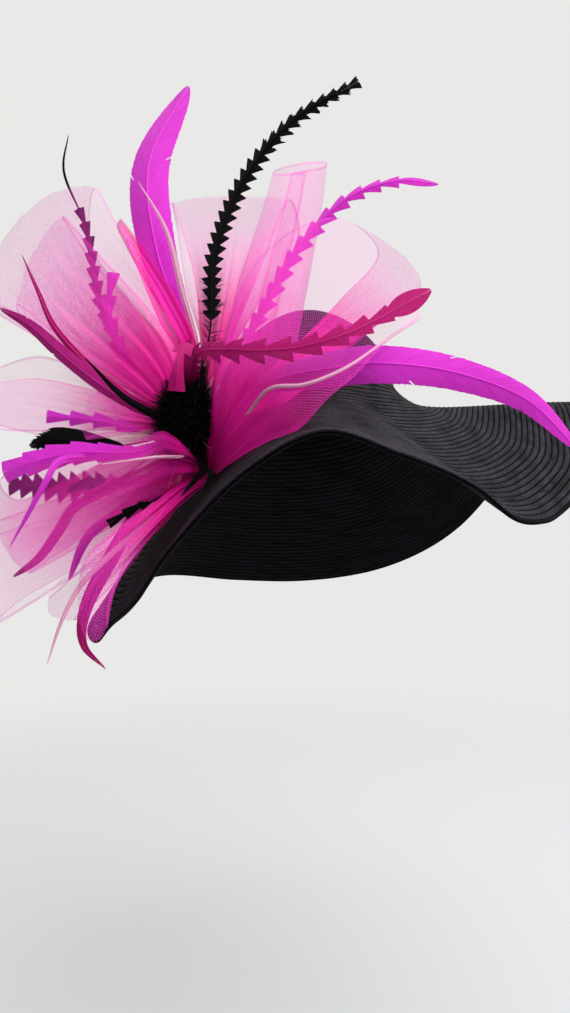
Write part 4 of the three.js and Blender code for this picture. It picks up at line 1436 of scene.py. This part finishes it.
    def _vane(self, sign: int) -> None:
        """Adds the barbs on one side of the quill."""
        feather = self.feather
        roots = np.arange(self.start, self.length - self.TIP_GAP, self.PITCH)
        wide, narrow = self.ANGLES[feather.cut]
        reach = np.linspace(0, feather.width * self.REACH, 240)
        to_first, between, opening = self.SPLITS
        least, most, soft = self.FRAYED
        previous = None
        parting = 0.0
        wait = self.chance.uniform(*to_first)
        for root in roots:
            share = (root - self.start) / (self.length - self.start)
            angle = math.radians(wide + (narrow - wide) * share)
            distance = root + reach * math.cos(angle)
            offset = reach * math.sin(angle)
            inside = (offset <= self._outline(distance)) & (distance <= self.length)
            stop = int(np.argmin(inside)) if not inside.all() else len(reach) - 1
            length = reach[max(stop, 1)]
            if feather.cut is not Cut.ARROW:
                length *= self.chance.uniform(*self.RAGGED)
            if feather.frayed and share > soft:
                length *= self.chance.uniform(least, most)
            wait -= self.PITCH
            split = False
            if feather.cut is Cut.BLADE and wait < 0:
                wait = self.chance.uniform(*between)
                split = True
                parting = self.chance.uniform(*opening)
            parting *= self.CLOSING
            k = np.linspace(0, 1, self.SEGMENTS + 1)
            walked = k * length
            d = np.minimum(root + walked * math.cos(angle) + parting * k**2, self.length)
            o = sign * (walked * math.sin(angle) + 0.25)
            first = len(self.vertices)
            self.vertices.extend(self._place(d, o))
            self.pattern.extend((root, sign * value) for value in walked)
            if previous is not None:
                for j in range(self.SEGMENTS - split):
                    face = (previous + j, previous + j + 1, first + j + 1, first + j)
                    self.faces.append(face if sign > 0 else face[::-1])
                    self.tints.append(0)
            previous = first

    def _wisps(self) -> None:
        """Adds loose barbs below the vane and over its lower part."""
        for _ in range(self.feather.wisps):
            root = self.start * self.chance.uniform(*self.WISP_ROOTS)
            length = self.chance.uniform(*self.WISP_LENGTHS) * self.feather.width * self.WISP_SHARE
            angle = math.radians(self.chance.uniform(*self.WISP_ANGLES))
            sign = self.chance.choice((-1, 1))
            k = np.array([0.0, 0.5, 1.0])
            centre = self._place(root + k * length * math.cos(angle),
                                 sign * k * length * math.sin(angle))
            first = len(self.vertices)
            for thick, point in zip(self.WISP_HALVES, centre):
                self.vertices.extend([point + [0, 0, thick], point - [0, 0, thick]])
                self.pattern.extend([(root, 0.0), (root, thick)])
            for step in (0, 2):
                self.faces.append((first + step, first + step + 1, first + step + 3,
                                   first + step + 2))
                self.tints.append(0)

    def _quill(self) -> None:
        """Adds the tapered quill."""
        distance = np.linspace(0, self.length, max(24, int(self.length / 3)))
        point, across, normal = self._frame(distance)
        share = distance / self.length
        least, added, by_width, taper = self.STEM
        radius = least + (added + self.feather.width * by_width) * (1 - share) ** taper
        first = len(self.vertices)
        for step, centre in enumerate(point):
            for side in range(self.QUILL_SIDES):
                turn = 2 * math.pi * side / self.QUILL_SIDES
                way = across[step] * math.cos(turn) + normal[step] * math.sin(turn)
                self.vertices.append(centre + way * radius[step])
                self.pattern.append((distance[step], side * 0.3))
        for face in grid_faces(len(distance), self.QUILL_SIDES, first, closed=True):
            self.faces.append(tuple(face))
            self.tints.append(1)

    def build(self, vane: Material, quill: Material) -> Object:
        """Makes the feather."""
        self._vane(1)
        self._vane(-1)
        self._wisps()
        self._quill()
        pattern = np.array(self.pattern)
        corners = pattern[np.array(self.faces).ravel()]
        piece = add_mesh(self.feather.name, np.array(self.vertices), self.faces, corners)
        declare(piece, self.feather.node, self.feather.dye.value[0], vane, quill)
        piece.data.polygons.foreach_set("material_index", self.tints)
        return piece


@dataclass(frozen=True)
class FeatherFinish:
    """A dye's two materials: the vane's and the quill's.

    Attributes:
        dye: The dye.
        matte: Reflection of black feathers.
        gloss: Reflection of the other dyes' vanes and quills.
        sheen: Soft sheen of the bright dyes.
        roughness: Roughness of vanes and quills.
        barb_relief: Depth of the barbs' relief in metres, and its strength.
    """

    dye: Dye
    matte: float = 0.08
    gloss: tuple[float, float] = (0.2, 0.4)
    sheen: float = 0.15
    roughness: tuple[float, float] = (0.5, 0.35)
    barb_relief: tuple[float, float] = (0.0002, 0.7)

    def _start(self, name: str, kind: int) -> tuple[Finish, Tone, Tone]:
        """Starts one of the dye's materials.

        Args:
            name: End of its name.
            kind: 0 for the vane and 1 for the quill.

        Returns:
            The finish, and the dye's dark and light tones.
        """
        finish = Finish(f"feather_{self.dye.name.lower()}_{name}")
        finish.set("Roughness", self.roughness[kind])
        black = self.dye is Dye.BLACK
        finish.set("Specular IOR Level", self.matte if black else self.gloss[kind])
        _, light, dark = self.dye.value
        return finish, colour(dark), colour(light)

    def vane(self) -> Material:
        """Makes the vane's material."""
        vane, dark, light = self._start("vane", 0)
        vector, along, _ = vane.pattern()
        streak = vane.noise(vane.scaled(vector, 0.9, 0.05), 1.0, 3.0)
        drift = vane.noise(vane.scaled(vector, 0.05, 0.1), 1.0)
        tone = vane.mix(vane.spread(streak, 0.3, 0.72), dark, light)
        vane.join("Base Color", vane.mix(vane.times(drift, 0.5), tone, light))
        vane.set("Sheen Weight", self.sheen if self.dye in (Dye.MAGENTA, Dye.PINK) else 0.0)
        barb = vane.math("SINE", vane.times(along, 2 * math.pi / Plume.PITCH))
        vane.bump(vane.plus(barb, vane.times(streak, 2.0)), *self.barb_relief)
        return vane.material

    def quill(self) -> Material:
        """Makes the quill's material."""
        quill, dark, light = self._start("quill", 1)
        tone = quill.noise(quill.scaled(quill.pattern()[0], 0.4, 2.0), 1.0)
        quill.join("Base Color", quill.mix(tone, dark, light))
        return quill.material


# Hackle


@dataclass(frozen=True)
class Hackle:
    """The fluffy black cluster: a soft core, fine barbs all over it and pointed locks.

    Attributes:
        barbs: How many fine barbs stand on the core.
        tufts: How many longer barbs stand out from its front.
        ball: Middle of the ball that their tips fill.
        ball_size: Half size of that ball along each axis.
        locks: Tips of the longest locks, in millimetres.
        shortest: Least length of a barb.
        longest: Greatest length of a barb.
        lock_barbs: How many barbs make a lock.
        core: Share of the pad's size that the core has.
        widths: Width of a barb, a tuft's barb and a lock's barb.
        stray: How far a barb strays from straight out of the core.
        lock_spread: Spread of a lock's roots, and of its tips.
        rings: Rings of the core.
        sides: Faces round each ring.
    """

    barbs: int = 2400
    tufts: int = 3000
    ball: Point = (-87.0, -168.0, -20.0)
    ball_size: Point = (21.0, 34.0, 31.0)
    locks: tuple[Point, ...] = (
        (-103, -135, 11), (-112, -145, -25), (-84, -145, -67), (-76, -125, 33), (-68, -145, 6),
        (-90, -145, -53), (-74, -145, -53), (-96, -135, -42), (-91, -125, 24), (-71, -145, -4),
        (-77, -110, 44), (-74, -112, 30), (-82, -116, 26), (-106, -190, -18), (-94, -190, 2),
        (-96, -190, -36), (-100, -190, -10), (-87, -190, 7), (-68, -180, 4), (-70, -178, 19),
    )
    shortest: float = 8.0
    longest: float = 22.0
    lock_barbs: int = 60
    core: float = 0.86
    widths: Point = (0.5, 1.3, 1.0)
    stray: float = 0.5
    lock_spread: tuple[float, float] = (2.2, 2.0)
    rings: int = 24
    sides: int = 32

    def build(self, finish: Material) -> Object:
        """Makes the cluster."""
        chance = random.Random("hackle")
        vertices: list[np.ndarray] = []
        faces: list[tuple[int, ...]] = []
        for ring in range(self.rings + 1):
            for side in range(self.sides):
                polar, turn = math.pi * ring / self.rings, 2 * math.pi * side / self.sides
                way = np.array([math.sin(polar) * math.cos(turn),
                                math.sin(polar) * math.sin(turn), math.cos(polar)])
                lump = self.core + 0.06 * math.sin(5 * turn + 3 * polar) + 0.03 * math.sin(9 * polar)
                vertices.append(PAD.point(way, lump))
        faces.extend(map(tuple, grid_faces(self.rings + 1, self.sides, closed=True)[:, ::-1]))
        centre = np.array(PAD.centre)
        fine, broad, pointed = self.widths
        at_root, at_tip = self.lock_spread
        for _ in range(self.barbs):
            way = unit(self._gusts(chance))
            root = PAD.point(way, 0.85)
            out = unit(way + self.stray * self._gusts(chance))
            length = chance.uniform(self.shortest, self.longest)
            self._strand(vertices, faces, root, root + out * length, fine, chance)
        for _ in range(self.tufts):
            way = unit(self._gusts(chance))
            tip = np.array(self.ball) + way * np.array(self.ball_size) * chance.uniform(0.5, 1.0)
            root = PAD.point(tip - centre, chance.uniform(0.3, 0.8))
            self._strand(vertices, faces, root, tip, broad, chance)
        for tip in self.locks:
            end = np.array(tip, dtype=float)
            root = PAD.point(end - centre, 0.6)
            for _ in range(self.lock_barbs):
                jitter = self._gusts(chance)
                share = chance.uniform(0.55, 1.0)
                goal = root + (end - root) * share + jitter * at_tip * (1.15 - share)
                self._strand(vertices, faces, root + jitter * at_root, goal, pointed, chance)
        piece = add_mesh("hackle_cluster", np.array(vertices), faces)
        return declare(piece, "hackle_pad", "hackle_black", finish)

    @staticmethod
    def _gusts(chance: random.Random) -> np.ndarray:
        """Returns a random vector of no preferred direction."""
        return np.array([chance.gauss(0, 1) for _ in range(3)])

    @staticmethod
    def _strand(vertices: list, faces: list, root: np.ndarray, tip: np.ndarray,
                width: float, chance: random.Random) -> None:
        """Adds one flat barb that bends a little on its way to its tip.

        Args:
            vertices: The cluster's points, which it adds to.
            faces: The cluster's faces, which it adds to.
            root: Where the barb starts.
            tip: Where it ends.
            width: Its width at the root.
            chance: The cluster's random draws.
        """
        way = tip - root
        side = unit(np.cross(way, Hackle._gusts(chance)))
        bend = np.cross(unit(way), side) * np.linalg.norm(way) * chance.uniform(-0.2, 0.2)
        first = len(vertices)
        for share, thick in ((0.0, 1.0), (0.5, 0.8), (1.0, 0.12)):
            middle = root + way * share + bend * 4 * share * (1 - share)
            vertices.append(middle + side * width * thick / 2)
            vertices.append(middle - side * width * thick / 2)
        for step in (0, 2):
            faces.append((first + step, first + step + 1, first + step + 3, first + step + 2))


@dataclass(frozen=True)
class HackleFinish:
    """Soft matte black.

    Attributes:
        tones: Darkest and lightest tone, as sRGB.
        grain: Scale of the noise between them.
    """

    tones: tuple[str, str] = ("#020203", "#141315")
    grain: float = 400.0

    def make(self) -> Material:
        """Makes the material."""
        finish = Finish("black_hackle")
        place = finish.node("TexCoord").outputs["Object"]
        tone = finish.noise(place, self.grain, 3.0)
        finish.join("Base Color", finish.mix(tone, *map(colour, self.tones)))
        finish.set("Roughness", 0.85)
        finish.set("Specular IOR Level", 0.2)
        return finish.material


def main() -> None:
    """Builds the hat."""
    logging.basicConfig(level=logging.INFO, format="%(message)s")
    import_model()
    for made in bpy.context.selected_objects:
        made.select_set(False)
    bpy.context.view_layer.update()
    scene = bpy.context.scene
    scene.view_settings.view_transform = "Standard"
    scene.cycles.transparent_max_bounces = NET_LAYERS
    CAMERA.build()
    Studio().build()
    straw = StrawFinish("black_straw_braid", "#010102", "#413e44", 0.015).make()
    # A darker copy of the straw with its shade painted in, for the inner faces; the rim binding is
    # made in it too.
    shaded_straw = StrawFinish("black_straw_painted_shade", "#010102", "#1e1b20", 0.01).make()
    crin = CrinFinish().make()
    dyed = {dye: (FeatherFinish(dye).vane(), FeatherFinish(dye).quill()) for dye in Dye}
    pieces = [CROWN.build(straw, shaded_straw), BRIM.build(straw, shaded_straw), RimBinding().build(shaded_straw)]
    pieces += [CrinBand(loop).build(crin) for loop in LOOPS]
    pieces.append(Funnel().build(crin))
    pieces += [Plume(feather).build(*dyed[feather.dye]) for feather in FEATHERS]
    pieces.append(Hackle().build(HackleFinish().make()))
    for piece in pieces:
        LOG.info("%s: %d faces", piece.name, len(piece.data.polygons))


if __name__ == "__main__":
    main()
